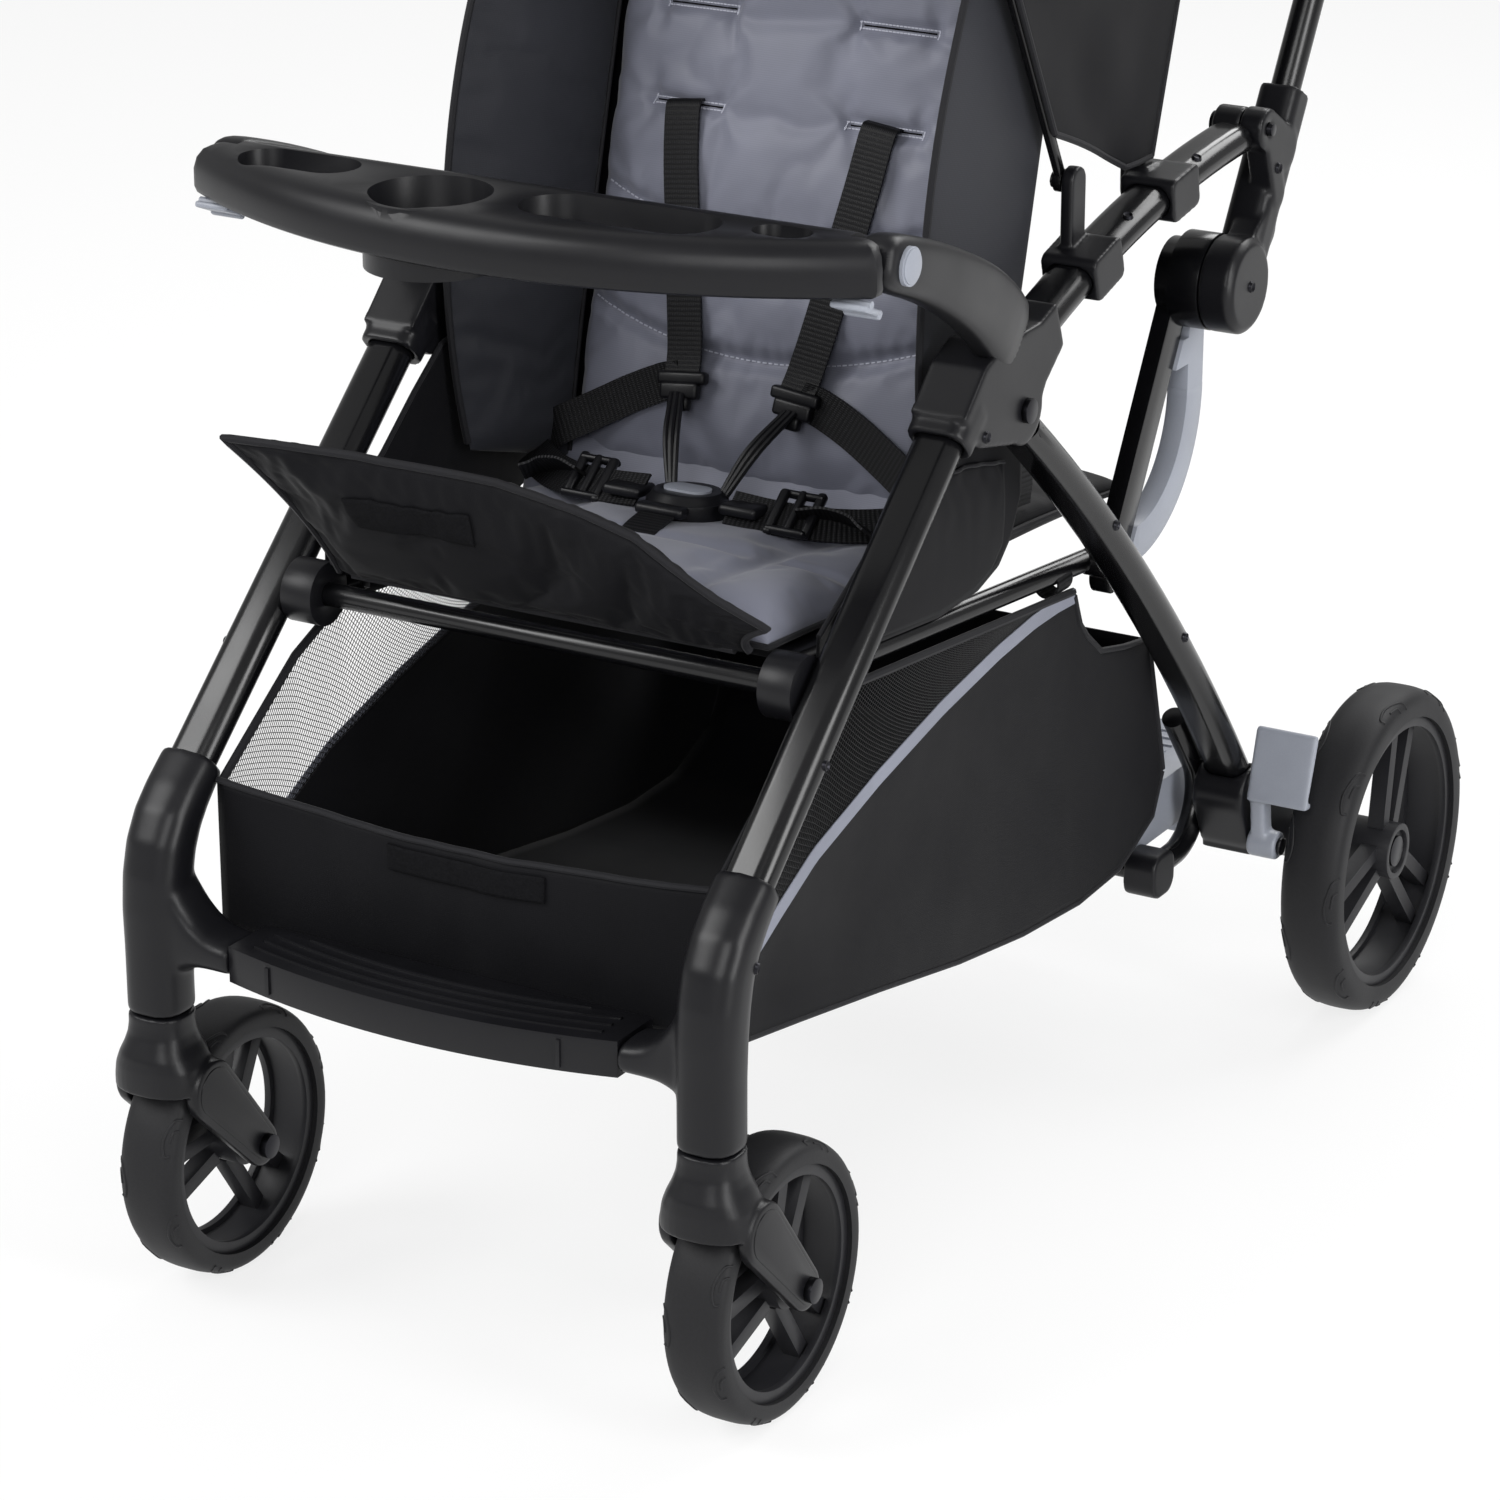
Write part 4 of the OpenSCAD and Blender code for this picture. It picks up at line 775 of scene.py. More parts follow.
@dataclass
class Studio:
    """Pale floor, soft light and the camera of the photograph.

    Attributes:
        eye: place of the camera, in metres.
        aim: point that it faces.
        lens: its focal length, in millimetres.
        sky: strength of the surroundings.
    """

    eye: tuple[float, float, float] = (1.6380, -2.8871, 1.5524)
    aim: tuple[float, float, float] = (0.0, -0.06996, 0.3029)
    lens: float = 118.09
    sky: float = 0.42

    def build(self) -> None:
        """Makes the camera, the lamps, the world and the floor."""
        scene = bpy.context.scene
        scene.view_settings.view_transform = "Standard"
        camera = bpy.data.cameras.new("camera")
        camera.lens, camera.sensor_width, camera.clip_end = self.lens, 36.0, 60.0
        eye = bpy.data.objects.new("camera", camera)
        eye.location = self.eye
        eye.rotation_euler = (Vector(self.aim) - Vector(self.eye)).to_track_quat("-Z", "Y").to_euler()
        scene.collection.objects.link(eye)
        scene.camera = eye
        self.lamp("key", (-2.3, -2.6, 3.0), (0, 0, 0.5), (2.4, 2.0), 110.0)
        self.lamp("strip", (2.9, -0.9, 1.5), (0, 0, 0.5), (0.9, 2.4), 60.0)
        self.lamp("fill", (1.2, -3.6, 2.4), (0, 0, 0.5), (1.6, 1.6), 45.0)
        self.lamp("back", (0.6, 2.6, 2.7), (0, 0, 0.7), (3.2, 1.4), 85.0)
        self.world()
        self.floor()

    def lamp(self, name: str, spot: tuple[float, float, float], aim: tuple[float, float, float],
             size: tuple[float, float], watts: float) -> None:
        """Adds one soft box.

        Args:
            name: name of the lamp.
            spot: where it hangs, in metres.
            aim: what it faces.
            size: its width and height, in metres.
            watts: its power.
        """
        light = bpy.data.lights.new(name, "AREA")
        light.shape, light.size, light.size_y, light.energy = "RECTANGLE", size[0], size[1], watts
        made = bpy.data.objects.new(name, light)
        made.location = spot
        made.rotation_euler = (Vector(aim) - Vector(spot)).to_track_quat("-Z", "Y").to_euler()
        bpy.context.scene.collection.objects.link(made)

    def world(self) -> None:
        """Plain pale surroundings."""
        made = bpy.data.worlds.new("studio")
        bpy.context.scene.world = made
        made.use_nodes = True
        tree = made.node_tree
        tree.nodes.clear()
        sky = put(tree, "ShaderNodeBackground", {}, {"Color": srgb("#ffffff"), "Strength": self.sky})
        put(tree, "ShaderNodeOutputWorld", {}, {"Surface": sky.outputs["Background"]})

    def floor(self) -> None:
        """Pale seamless floor that keeps a soft shadow."""
        made = bpy.data.materials.new("seamless_paper_white")
        made.use_nodes = True
        tree = made.node_tree
        tree.nodes.clear()
        rays = put(tree, "ShaderNodeLightPath")
        paper = put(tree, "ShaderNodeBsdfDiffuse", {}, {"Color": srgb("#f4f4f4")})
        glow = put(tree, "ShaderNodeEmission", {}, {"Color": srgb("#ffffff"), "Strength": 1.0})
        lit = put(tree, "ShaderNodeMixShader", {}, {0: 0.8, 1: paper.outputs[0], 2: glow.outputs[0]})
        seen = rays.outputs["Is Camera Ray"]
        for name in ("Is Glossy Ray", "Is Transmission Ray"):
            either = put(tree, "ShaderNodeMath", {"operation": "MAXIMUM"}, {0: seen, 1: rays.outputs[name]})
            seen = either.outputs[0]
        both = put(tree, "ShaderNodeMixShader", {}, {0: seen, 1: paper.outputs[0], 2: lit.outputs[0]})
        put(tree, "ShaderNodeOutputMaterial", {}, {"Surface": both.outputs[0]})
        bm = bmesh.new()
        bmesh.ops.create_grid(bm, x_segments=2, y_segments=2, size=9.0)
        mesh = bpy.data.meshes.new("floor")
        bm.to_mesh(mesh)
        bm.free()
        mesh.materials.append(made)
        ground = bpy.data.objects.new("floor", mesh)
        bpy.context.scene.collection.objects.link(ground)


@dataclass
class HardParts:
    """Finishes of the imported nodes, and the small screws on them.

    Attributes:
        finishes: each finish with its nodes.
        screws: body, name, node that they sit on, places in side view and head width of each set.
        edge: radius of the edges.
        moulded: nodes whose forms run into one another, with the grid and the rounds of smoothing.
    """

    finishes: tuple[tuple[Finish, tuple[str, ...]], ...] = (
        (RIM_NYLON, ("front_rim_left", "front_rim_right", "rear_rim_left", "rear_rim_right")),
        (TYRE_FOAM, ("front_tyre_left", "front_tyre_right", "rear_tyre_left", "rear_tyre_right")),
        (BLACK_ABS, ("caster_fork_left", "caster_fork_right", "leg_castings", "footrest", "hubs",
                     "tube_end_blocks", "tray_arms", "rear_leg_caps", "axle_brackets", "platform_clamps",
                     "handle_arms", "seat_bar_knobs", "seat_board", "back_board", "harness_buckle",
                     "child_tray", "canopy_clips")),
        (GREY_ABS, ("standing_platform", "brake_pedal_left", "brake_pedal_right", "grab_bars",
                    "buckle_button", "tray_button_left", "tray_button_right", "tray_lever_left",
                    "tray_lever_right")),
        (POWDER_COAT, ("front_legs", "upper_tubes", "rear_legs", "platform_tube", "handle_tube", "fold_links",
                       "seat_bar", "seat_rails", "canopy_front_bow", "canopy_rear_bow")),
        (BLACK_OXIDE, ("caster_pins_left", "caster_pins_right", "pivot_pins", "rear_axle_bar")),
        (ZINC, ("drum_pins", "back_hinge_rod")),
        (GRIP_FOAM, ("handle_grip",)),
        (BLACK_WEAVE, ("basket", "canopy_cloth", "leg_flap", "rear_bench")),
        (SEAT_SATIN, ("seat_pad", "back_pad")),
        (WEBBING, ("shoulder_straps", "lap_harness")))
    screws: tuple[tuple[str, str, str, Pairs, float], ...] = (
        ("frame", "leg_screws", "front_legs", ((-372, 437),), 8.0),
        ("frame", "hub_screws", "hubs", ((-168, 598),), 9.0),
        ("frame", "upper_tube_screws", "upper_tubes", ((60, 692), (165, 710)), 8.0),
        ("rear_frame", "rear_cap_screws", "rear_leg_caps", ((-79, 577),), 9.0),
        ("rear_frame", "rear_leg_screws", "rear_legs", ((38, 478), (157, 359)), 8.0),
        ("handle", "handle_screws", "handle_arms", ((276, 680), (228.77, 603.96)), 9.0))
    edge: float = 1.1
    moulded: dict[str, tuple[float, int]] = field(default_factory=lambda: {
        "hubs": (1.5, 12), "handle_arms": (1.5, 10), "canopy_clips": (1.3, 8), "tube_end_blocks": (1.3, 8),
        "brake_pedal_left": (1.2, 22), "brake_pedal_right": (1.2, 22), "axle_brackets": (1.5, 12),
        "platform_clamps": (1.3, 8), "rear_leg_caps": (1.3, 6)})

    def build(self, nodes: dict[str, Object]) -> None:
        """Dresses the nodes and adds the screws.

        Args:
            nodes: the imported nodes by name.
        """
        for finish, names in self.finishes:
            for name in names:
                self.dress(nodes[name], finish, self.moulded.get(name))
        for body, name, node, points, wide in self.screws:
            tree = BVHTree.FromObject(nodes[node], bpy.context.evaluated_depsgraph_get())
            bm = bmesh.new()
            for y, z in points:
                for _, s in SIDES:
                    seat_screw(bm, tree, s, y, z, wide)
            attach(piece(name, bm, BLACK_OXIDE), body)

    def dress(self, node: Object, finish: Finish, blend: tuple[float, int] | None) -> None:
        """Gives a node its finish and rounds its edges by modifiers.

        Args:
            node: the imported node, whose own vertices stay as they are.
            finish: its finish.
            blend: grid and rounds of smoothing, for a node whose forms run into one another.
        """
        node.data.materials.clear()
        node.data.materials.append(finish.material())
        weld = node.modifiers.new("Weld", "WELD")
        weld.merge_threshold = WELD
        if blend:
            add_grid(node, blend[0])
            add_radii(node, blend[1])
        else:
            self.round_edges(node)

    def round_edges(self, node: Object) -> None:
        """Rounds a rigid node's edges as a mould or a file leaves them.

        Args:
            node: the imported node, whose own vertices stay as they are.
        """
        custom = node.data.attributes.get("custom_normal")
        if custom:
            node.data.attributes.remove(custom)
        node.data.shade_smooth()
        edge = node.modifiers.new("Edges", "BEVEL")
        edge.width, edge.segments, edge.limit_method = self.edge * MM, 2, "ANGLE"
        edge.angle_limit, edge.use_clamp_overlap = math.radians(38), True
        split = node.modifiers.new("Creases", "EDGE_SPLIT")
        split.split_angle = math.radians(36)


@dataclass
class Tyre:
    """Foam tyre with a crowned tread and stepped marks on its shoulders.

    Attributes:
        name: front or rear.
        centre: x, y and z of the right-hand wheel.
        wide: diameter.
        broad: width.
        thick: thickness of the foam.
        marks: number of marks round a shoulder.
    """

    name: str
    centre: tuple[float, float, float]
    wide: float
    broad: float
    thick: float
    marks: int

    def profile(self, w: float) -> tuple[float, float]:
        """Radius and place along X of the tread, w from -1 at one wall to 1 at the other."""
        half, r = self.broad / 2, self.wide / 2
        angle = w * math.pi / 2
        a = half * math.copysign(abs(math.sin(angle)) ** 0.72, w)
        return r - self.thick * 0.72 * (1 - abs(math.cos(angle)) ** 0.62), a

    def build(self) -> None:
        """Makes both tyres, each in place of its node, with its marks."""
        inner = self.wide / 2 - self.thick
        run = [self.profile(k / 16) for k in range(-16, 17)]
        wall = self.broad / 2 - 0.4
        closed = [(inner, -wall), *run, (inner, wall), (inner, -wall)]
        for side, s in SIDES:
            middle = Vector((s * self.centre[0], self.centre[1], self.centre[2])) * MM
            bm = lathe_mesh(closed, middle, 96)
            self.add_marks(bm, middle)
            made = piece(f"{self.name}_tread_{side}", bm, TYRE_FOAM, 50)
            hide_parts(f"{self.name}_tyre_{side}")
            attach(made, f"{self.name}_wheel_{side}")

    def add_marks(self, bm: BMesh, middle: Vector) -> None:
        """Adds the stepped hexagon marks to both shoulders.

        Args:
            bm: the tyre's mesh.
            middle: the wheel's middle, in metres.
        """
        outline = ((-0.16, 0.86), (-0.13, 0.55), (0.02, 0.36), (0.13, 0.44), (0.13, 0.62))
        inner = ((-0.07, 0.82), (-0.05, 0.62), (0.03, 0.56))
        for k in range(self.marks):
            for s in (-1, 1):
                turn = 2 * math.pi * (k + (0.5 if s > 0 else 0.0)) / self.marks
                for shape, r in ((outline, 1.1), (inner, 1.0)):
                    points = []
                    for a, w in shape:
                        radius, x = self.profile(w * s)
                        points.append(middle + Vector((x, (radius - 0.3) * math.cos(turn + a),
                                                       (radius - 0.3) * math.sin(turn + a))) * MM)
                    add_tube(bm, path(points, 3), r)


@dataclass
class LegCasting:
    """Moulded foot of a front leg: its sleeve bends into the caster's collar and an arm runs to the footrest.

    Attributes:
        spine: y, z, half width and half depth from the sleeve's mouth down to the collar.
        arm: x, y, z, half depth and half height from the footrest into the foot.
        across: place of the leg across.
        screw: place of the screw in side view.
    """

    spine: Rows = (
        (-438.3, 377.5, 21.5, 16.0), (-446.0, 370.5, 21.6, 16.6), (-457.5, 359.5, 21.8, 18.0),
        (-468.5, 346.5, 22, 19.6), (-477.0, 330.0, 22, 21), (-482.0, 310.0, 22, 21.4),
        (-484.2, 288.0, 21.6, 21.4), (-484.4, 262.0, 21, 21), (-484.4, 238.0, 21, 21),
        (-484.4, 215.2, 21, 21))
    arm: Rows = (
        (150.2, -475.4, 264.0, 21, 11), (160, -475.6, 264.6, 21, 11.4), (170, -476.2, 266, 20.6, 13),
        (179, -477, 269, 20.2, 17), (187, -478, 273, 20, 24), (194, -479, 278, 19.6, 33),
        (201, -480, 283, 19, 42), (210, -481, 286, 18, 48))
    across: float = 213.5
    screw: tuple[float, float] = (-465.0, 334.0)

    def build(self) -> None:
        """Makes both castings in place of their node, each with its screw."""
        for side, s in SIDES:
            bm = bmesh.new()
            add_loft(bm, spine_rings([(self.across, *row) for row in self.spine], s))
            add_loft(bm, [(Vector((s * x, y, z)) * MM, Vector((0, deep * MM, 0)), Vector((0, 0, high * MM)))
                          for x, y, z, deep, high in self.arm], 3.2)
            bmesh.ops.recalc_face_normals(bm, faces=bm.faces[:])
            made = piece(f"leg_casting_{side}", bm, BLACK_ABS, 180)
            add_grid(made, 1.6)
            add_radii(made, 30)
            settle(made)
            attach(made, "frame")
            if s < 0:
                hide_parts("leg_castings")
            tree = BVHTree.FromObject(made, bpy.context.evaluated_depsgraph_get())
            bm = bmesh.new()
            seat_screw(bm, tree, s, *self.screw, 9.0)
            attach(piece(f"casting_screw_{side}", bm, BLACK_OXIDE), "frame")


@dataclass
class CasterFork:
    """Moulded fork: a collar that flares into a crown over the tyre, and two rounded arms to the axle.

    Attributes:
        crown: z, y, half width and half depth from the collar's top down.
        arm: y, z and radius of an arm's two ends.
        axle: y and z of the wheel.
        inside: half width of the wheel's room.
        outside: half width over the arms.
        room: radius of the wheel's room.
        across: place of the caster across.
        voxel: cell of the grid that it is drawn on.
    """

    crown: Rows = (
        (214.6, -484.4, 21, 21), (207, -484.4, 21, 21), (200, -484.6, 21.8, 22), (193, -485, 24, 24.6),
        (186, -485, 27.4, 27.6), (178, -484, 30.8, 29.6), (169, -482, 33, 31.4), (160, -480, 34, 33))
    arm: Rows = ((-474.0, 157.0, 22.0), (-420.4, 95.25, 15.5))
    axle: tuple[float, float] = (-420.375, 95.25)
    inside: float = 24.4
    outside: float = 34.2
    room: float = 99.8
    across: float = 213.5
    voxel: float = 1.2

    def add_arm(self, bm: BMesh, near: float, far: float, less: float, soft: float) -> None:
        """Adds a plate that tapers from the crown to the axle.

        Args:
            bm: mesh that takes it.
            near: place of one face across.
            far: place of the other face across.
            less: how much narrower than the arm it is all round.
            soft: radius of its edges.
        """
        made: list[bmesh.types.BMVert] = []
        for y, z, r in self.arm:
            made += add_drum(bm, ((near + far) / 2, y, z), r - less, abs(far - near), 56)
        hull = bmesh.ops.convex_hull(bm, input=made)
        bmesh.ops.delete(bm, geom=hull["geom_interior"] + hull["geom_unused"], context="VERTS")
        made = [v for v in made if v.is_valid]
        edges = list({e for v in made for e in v.link_edges})
        bmesh.ops.dissolve_limit(bm, angle_limit=0.01, verts=made, edges=edges)
        rim = {e for v in made if v.is_valid for e in v.link_edges if e.calc_face_angle(0.0) > 0.6}
        bevel_edges(bm, rim, soft)

    def cut_room(self, made: Object, x: float) -> None:
        """Cuts the wheel's room from a fork and runs its forms into one another.

        Args:
            made: the fork.
            x: place of its caster across.
        """
        bm = bmesh.new()
        add_drum(bm, (x, *self.axle), self.room, 2 * self.inside, 96, True)
        mesh = bpy.data.meshes.new("wheel_room")
        bm.to_mesh(mesh)
        bm.free()
        cutter = bpy.data.objects.new("wheel_room", mesh)
        bpy.context.scene.collection.objects.link(cutter)
        add_grid(made, self.voxel)
        cut = made.modifiers.new("Room", "BOOLEAN")
        cut.object, cut.operation, cut.solver = cutter, "DIFFERENCE", "EXACT"
        add_grid(made, self.voxel)
        add_radii(made, 8)
        settle(made)
        bpy.data.objects.remove(cutter)

    def build(self) -> None:
        """Makes both forks, each in place of its node, with raised panels on their arms."""
        for side, s in SIDES:
            x = s * self.across
            bm = bmesh.new()
            add_loft(bm, [(Vector((x, y, z)) * MM, Vector((a * MM, 0, 0)), Vector((0, b * MM, 0)))
                          for z, y, a, b in self.crown], 2.5)
            for t in (-1.0, 1.0):
                self.add_arm(bm, x + t * self.inside, x + t * self.outside, 0, 2.4)
            bmesh.ops.recalc_face_normals(bm, faces=bm.faces[:])
            made = piece(f"caster_crown_{side}", bm, BLACK_ABS, 180)
            self.cut_room(made, x)
            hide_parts(f"caster_fork_{side}")
            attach(made, f"caster_{side}")
            bm = bmesh.new()
            for t in (-1.0, 1.0):
                face = x + t * self.outside
                self.add_arm(bm, face - t * 1.2, face + t * 0.5, 5.0, 0.45)
            bmesh.ops.recalc_face_normals(bm, faces=bm.faces[:])
            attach(piece(f"caster_panel_{side}", bm, BLACK_ABS, 40), f"caster_{side}")


@dataclass
class TrayArm:
    """Moulded arch from a hub up to the tray's pivot.

    Attributes:
        spine: x, y, z, half width and half height from the hub to past the pivot.
    """

    spine: Rows = (
        (221.5, -110, 645, 13, 28), (225, -134, 664, 13.2, 27.4), (229, -160, 682, 13.3, 26),
        (233, -188, 698, 13.4, 24.2), (236.5, -217, 712, 13.5, 22.4), (239.5, -247, 725.5, 13.7, 21),
        (241.8, -278, 738, 13.8, 20), (243, -306, 747.6, 13.9, 19.2), (243, -326, 754.3, 13.9, 18.4),
        (243, -335, 757.2, 13.6, 15.5), (243, -341, 759.2, 12, 9))

    def build(self) -> None:
        """Makes both arms in place of their node."""
        for side, s in SIDES:
            bm = bmesh.new()
            add_loft(bm, spine_rings(self.spine, s), 3.6)
            bmesh.ops.recalc_face_normals(bm, faces=bm.faces[:])
            made = piece(f"tray_arch_{side}", bm, BLACK_ABS, 50)
            soften(made)
            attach(made, "frame")
            if s < 0:
                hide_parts("tray_arms")


@dataclass
class TrayLevers:
    """Small release paddles under the tray's ends.

    Attributes:
        hinge: y and z of their hinges.
        middle: their place across.
    """

    hinge: tuple[float, float] = (-354.23, 734.5)
    middle: float = 238.0

    def build(self) -> None:
        """Makes both paddles, each in place of its node."""
        y, z = self.hinge
        for side, s in SIDES:
            bm = bmesh.new()
            x = s * self.middle
            add_tube(bm, [Vector((x + a, y, z)) * MM for a in (-13, 0, 13)], 2.8)
            add_block(bm, Vector((x, y + 2, z - 4)) * MM, (26, 20, 4.4), -22, 0, 1.8)
            add_block(bm, Vector((x, y + 12, z - 9)) * MM, (26, 5, 6.5), -34, 0, 2.0)
            made = piece(f"tray_paddle_{side}", bm, GREY_ABS)
            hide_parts(f"tray_lever_{side}")
            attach(made, f"tray_lever_{side}_body")


@dataclass
class Grip:
    """Foam sleeve over the handle's cross tube.

    Attributes:
        half: half its length.
        radius: its outer radius.
        bore: its inner radius.
    """

    half: float = 153.0
    radius: float = 16.4
    bore: float = 11.2

    def build(self) -> None:
        """Makes the sleeve, slightly swollen between its rolled ends."""
        r, end = self.radius, self.half
        rolled = [(self.bore, -end), (r - 4, -end), (r - 1.2, -end + 2), (r - 0.4, -end + 6)]
        swollen = [(r - 0.4 * abs(k) / 8, end * 0.94 * k / 8) for k in range(-8, 9)]
        profile = [*rolled, *swollen, *((a, -b) for a, b in reversed(rolled))]
        low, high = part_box("handle_grip")
        made = piece("handle_foam", lathe_mesh(profile, (low + high) / 2, 40), GRIP_FOAM)
        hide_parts("handle_grip")
        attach(made, "handle")


@dataclass
class BackRest:
    """Quilted back with padded side wings.

    Attributes:
        seam: half width of the quilted middle.
        edge: half width over the wings.
        low: lower edge along the back.
        high: upper edge along the back.
        reach: how far the wings stand forward.
        arcs: height of each quilting seam at the middle.
        slots: heights of the harness slots.
        ends: places across of a slot's two ends.
    """

    seam: float = 146.0
    edge: float = 184.8
    low: float = 28.0
    high: float = 489.0
    reach: float = 126.0
    arcs: tuple[float, ...] = (119.0, 200.0)
    slots: tuple[float, ...] = (288.0, 356.0, 424.0)
    ends: tuple[float, float] = (48.0, 106.0)

    def arc(self, start: float, x: float) -> float:
        """Height of a quilting seam at x, which rises to both sides."""
        return start + 27 * (x / 135) ** 2

    def spot(self, u: float, v: float) -> tuple[float, float]:
        """Across and up of the quilted middle's point u, v."""
        x = self.seam * u * (1 - 0.1 * max(0.0, v) ** 4)
        return x, mix(self.low, self.high, (v + 1) / 2) - 10 * abs(u) ** 4 * max(0.0, v) ** 3

    def sewn(self, x: float, t: float) -> float:
        """Depth of the seams and slots at a point of the middle, from 0 to 1."""
        depth = max(dip(t - self.arc(a, x), 10) for a in self.arcs)
        if self.ends[0] - 2 < abs(x) < self.ends[1] + 2:
            depth = max(depth, *(dip(t - h, 9) * 0.9 for h in self.slots))
        return depth

    def pucker(self, x: float, t: float) -> float:
        """Height of the gathers that the seams and slots draw into the cloth."""
        drift = noise.noise(Vector((x * 0.03, t * 0.03, 0.5)))
        rise = 0.0
        for a in self.arcs:
            near = math.exp(-((t - self.arc(a, x)) / 13) ** 2)
            rise += 1.1 * near * math.sin(x * 0.5 + 5 * drift)
        pitch = self.slots[1] - self.slots[0]
        for h in self.slots:
            for end in self.ends:
                dx, dt = abs(x) - end, t - h
                rays = math.cos(5 * math.atan2(dt, dx) + 3 * drift)
                rise += 2.4 * math.exp(-math.hypot(dx, dt) / 17) * rays
                if self.slots[0] < t:
                    rise -= 1.6 * dip(dx, 9) * (0.5 + 0.5 * math.cos(2 * math.pi * dt / pitch))
        return rise + 1.8 * noise.noise(Vector((x * 0.017, t * 0.012, 2.0)))

    def middle(self, u: float, v: float, side: float) -> Vector:
        """Point of the quilted middle."""
        x, t = self.spot(u, v)
        full = falloff(u, v)
        if side > 0:
            crown = 19 + 5 * math.cos(math.pi / 2 * u) + self.pucker(x, t)
            return BACK.at(x, -23 - crown * full + 8 * self.sewn(x, t) * full, t)
        return BACK.at(x, -23 + 8.4 * full, t)

    def wing(self, u: float, v: float, side: float) -> Vector:
        """Point of the right-hand wing, u from the seam to the outer edge."""
        stand = self.reach * (0.25 + 0.75 * max(0.0, math.cos(math.radians(72 * v - 4))) ** 0.8)
        t = mix(self.low, self.high - 8, (v + 1) / 2) - 18 * max(0.0, u) * max(0.0, v) ** 3
        narrow = 1 - 0.13 * max(0.0, v) ** 5 - 0.035 * max(0.0, -v) ** 3
        w = (u + 1) / 2
        root, tip = -38, -46 - stand
        drift = 3 * noise.noise(Vector((t * 0.02, u, 9.0)))
        gather = 1.3 * math.exp(-(1 - u) * 3.4) * math.sin(t * 0.42 + drift)
        front = (mix(self.seam - 1, self.edge, w) - 5 * math.sin(math.pi * w) - abs(gather) * (1 - w ** 8),
                 mix(root, tip, w))
        back = (1 - w) / 0.75
        if back < 1:
            rear = (self.edge + 1.6 * math.sin(math.pi * back), mix(tip, -15, back))
        else:
            turn = (back - 1) * 3
            rear = (mix(self.edge, self.seam - 1, min(1.0, turn)), mix(-15, root, turn))
        held = math.sqrt(max(0.0, 1 - abs(v) ** 14))
        mean = ((front[0] + rear[0]) / 2, (front[1] + rear[1]) / 2)
        own = front if side > 0 else rear
        own = own if abs(u) < 0.9999 else front
        return BACK.at(narrow * mix(mean[0], own[0], held), mix(mean[1], own[1], held), t)

    def build(self) -> None:
        """Makes the middle, the wings, their piping and the pale stitching."""
        quilt = piece("back_quilt", pillow_mesh(66, 100, self.middle, (292, 443)), SEAT_SATIN, 180)
        puff(quilt, lambda u, v, side: side < 0 or abs(u) > 0.999 or abs(v) > 0.999
             or self.sewn(*self.spot(u, v)) > 0.8, 2.0, 0.02, 6)
        soften(quilt)
        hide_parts("back_pad")
        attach(quilt, "backrest")
        for side, s in SIDES:
            def place(u: float, v: float, face: float, s: float = s) -> Vector:
                """Point of this side's wing."""
                p = self.wing(u, v, face)
                return Vector((s * p.x, p.y, p.z))
            wing = piece(f"back_wing_{side}", pillow_mesh(34, 70, place, (150, 443)), WING_WEAVE, 180)
            puff(wing, lambda u, v, face: face < 0 or abs(u) > 0.97 or abs(v) > 0.97, 1.2, 0.015, 5)
            soften(wing)
            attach(wing, "backrest")
        bm = bmesh.new()
        for _, s in SIDES:
            for u, r in ((1.0, 2.6), (-1.0, 1.8)):
                run = [self.wing(u, k / 30, 1.0) for k in range(-29, 30)]
                add_tube(bm, [Vector((s * p.x, p.y, p.z)) for p in run], r)
        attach(piece("back_piping", bm, BINDING), "backrest")
        self.stitch(quilt)

    def stitch(self, quilt: Object) -> None:
        """Sews the pale thread along the quilting seams and round the slots, and lays a near-black cord in
        each slit as painted shade.

        Args:
            quilt: the finished middle, whose surface the thread lies on.
        """
        tree = BVHTree.FromObject(quilt, bpy.context.evaluated_depsgraph_get())
        out = (BACK.at(0, -1, 0) - BACK.at(0, 0, 0)).normalized()

        def lay(points: Sequence[tuple[float, float]]) -> list[Vector]:
            """Points of the cloth's face at pairs of across and up."""
            found = [tree.ray_cast(BACK.at(x, -120, t), -out)[0] for x, t in points]
            return [p + out * 0.0002 for p in found if p]

        bm = bmesh.new()
        slot_shade = bmesh.new()
        for a in self.arcs:
            add_stitches(bm, lay([(x, self.arc(a, x)) for x in range(-136, 137, 4)]), out)
        ends = self.ends
        for h in self.slots:
            for s in (-1, 1):
                for d in (-2.2, 2.2):
                    add_stitches(bm, lay([(s * mix(*ends, k / 14), h + d) for k in range(15)]), out, 2.2, 0.5)
                for x in ends:
                    add_stitches(bm, lay([(s * x, h + d) for d in (-3, -1, 1, 3)]), out, 2.0, 0.4)
                # A near-black cord along each slit is painted shade, standing in for the slot's opening.
                slit = lay([(s * mix(ends[0] + 2, ends[1] - 2, k / 10), h) for k in range(11)])
                add_tube(slot_shade, slit, 0.6)
        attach(piece("back_stitching", bm, THREAD), "backrest")
        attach(piece("back_slot_shade", slot_shade, LOOP_PILE_AND_SLOT_SHADE), "backrest")


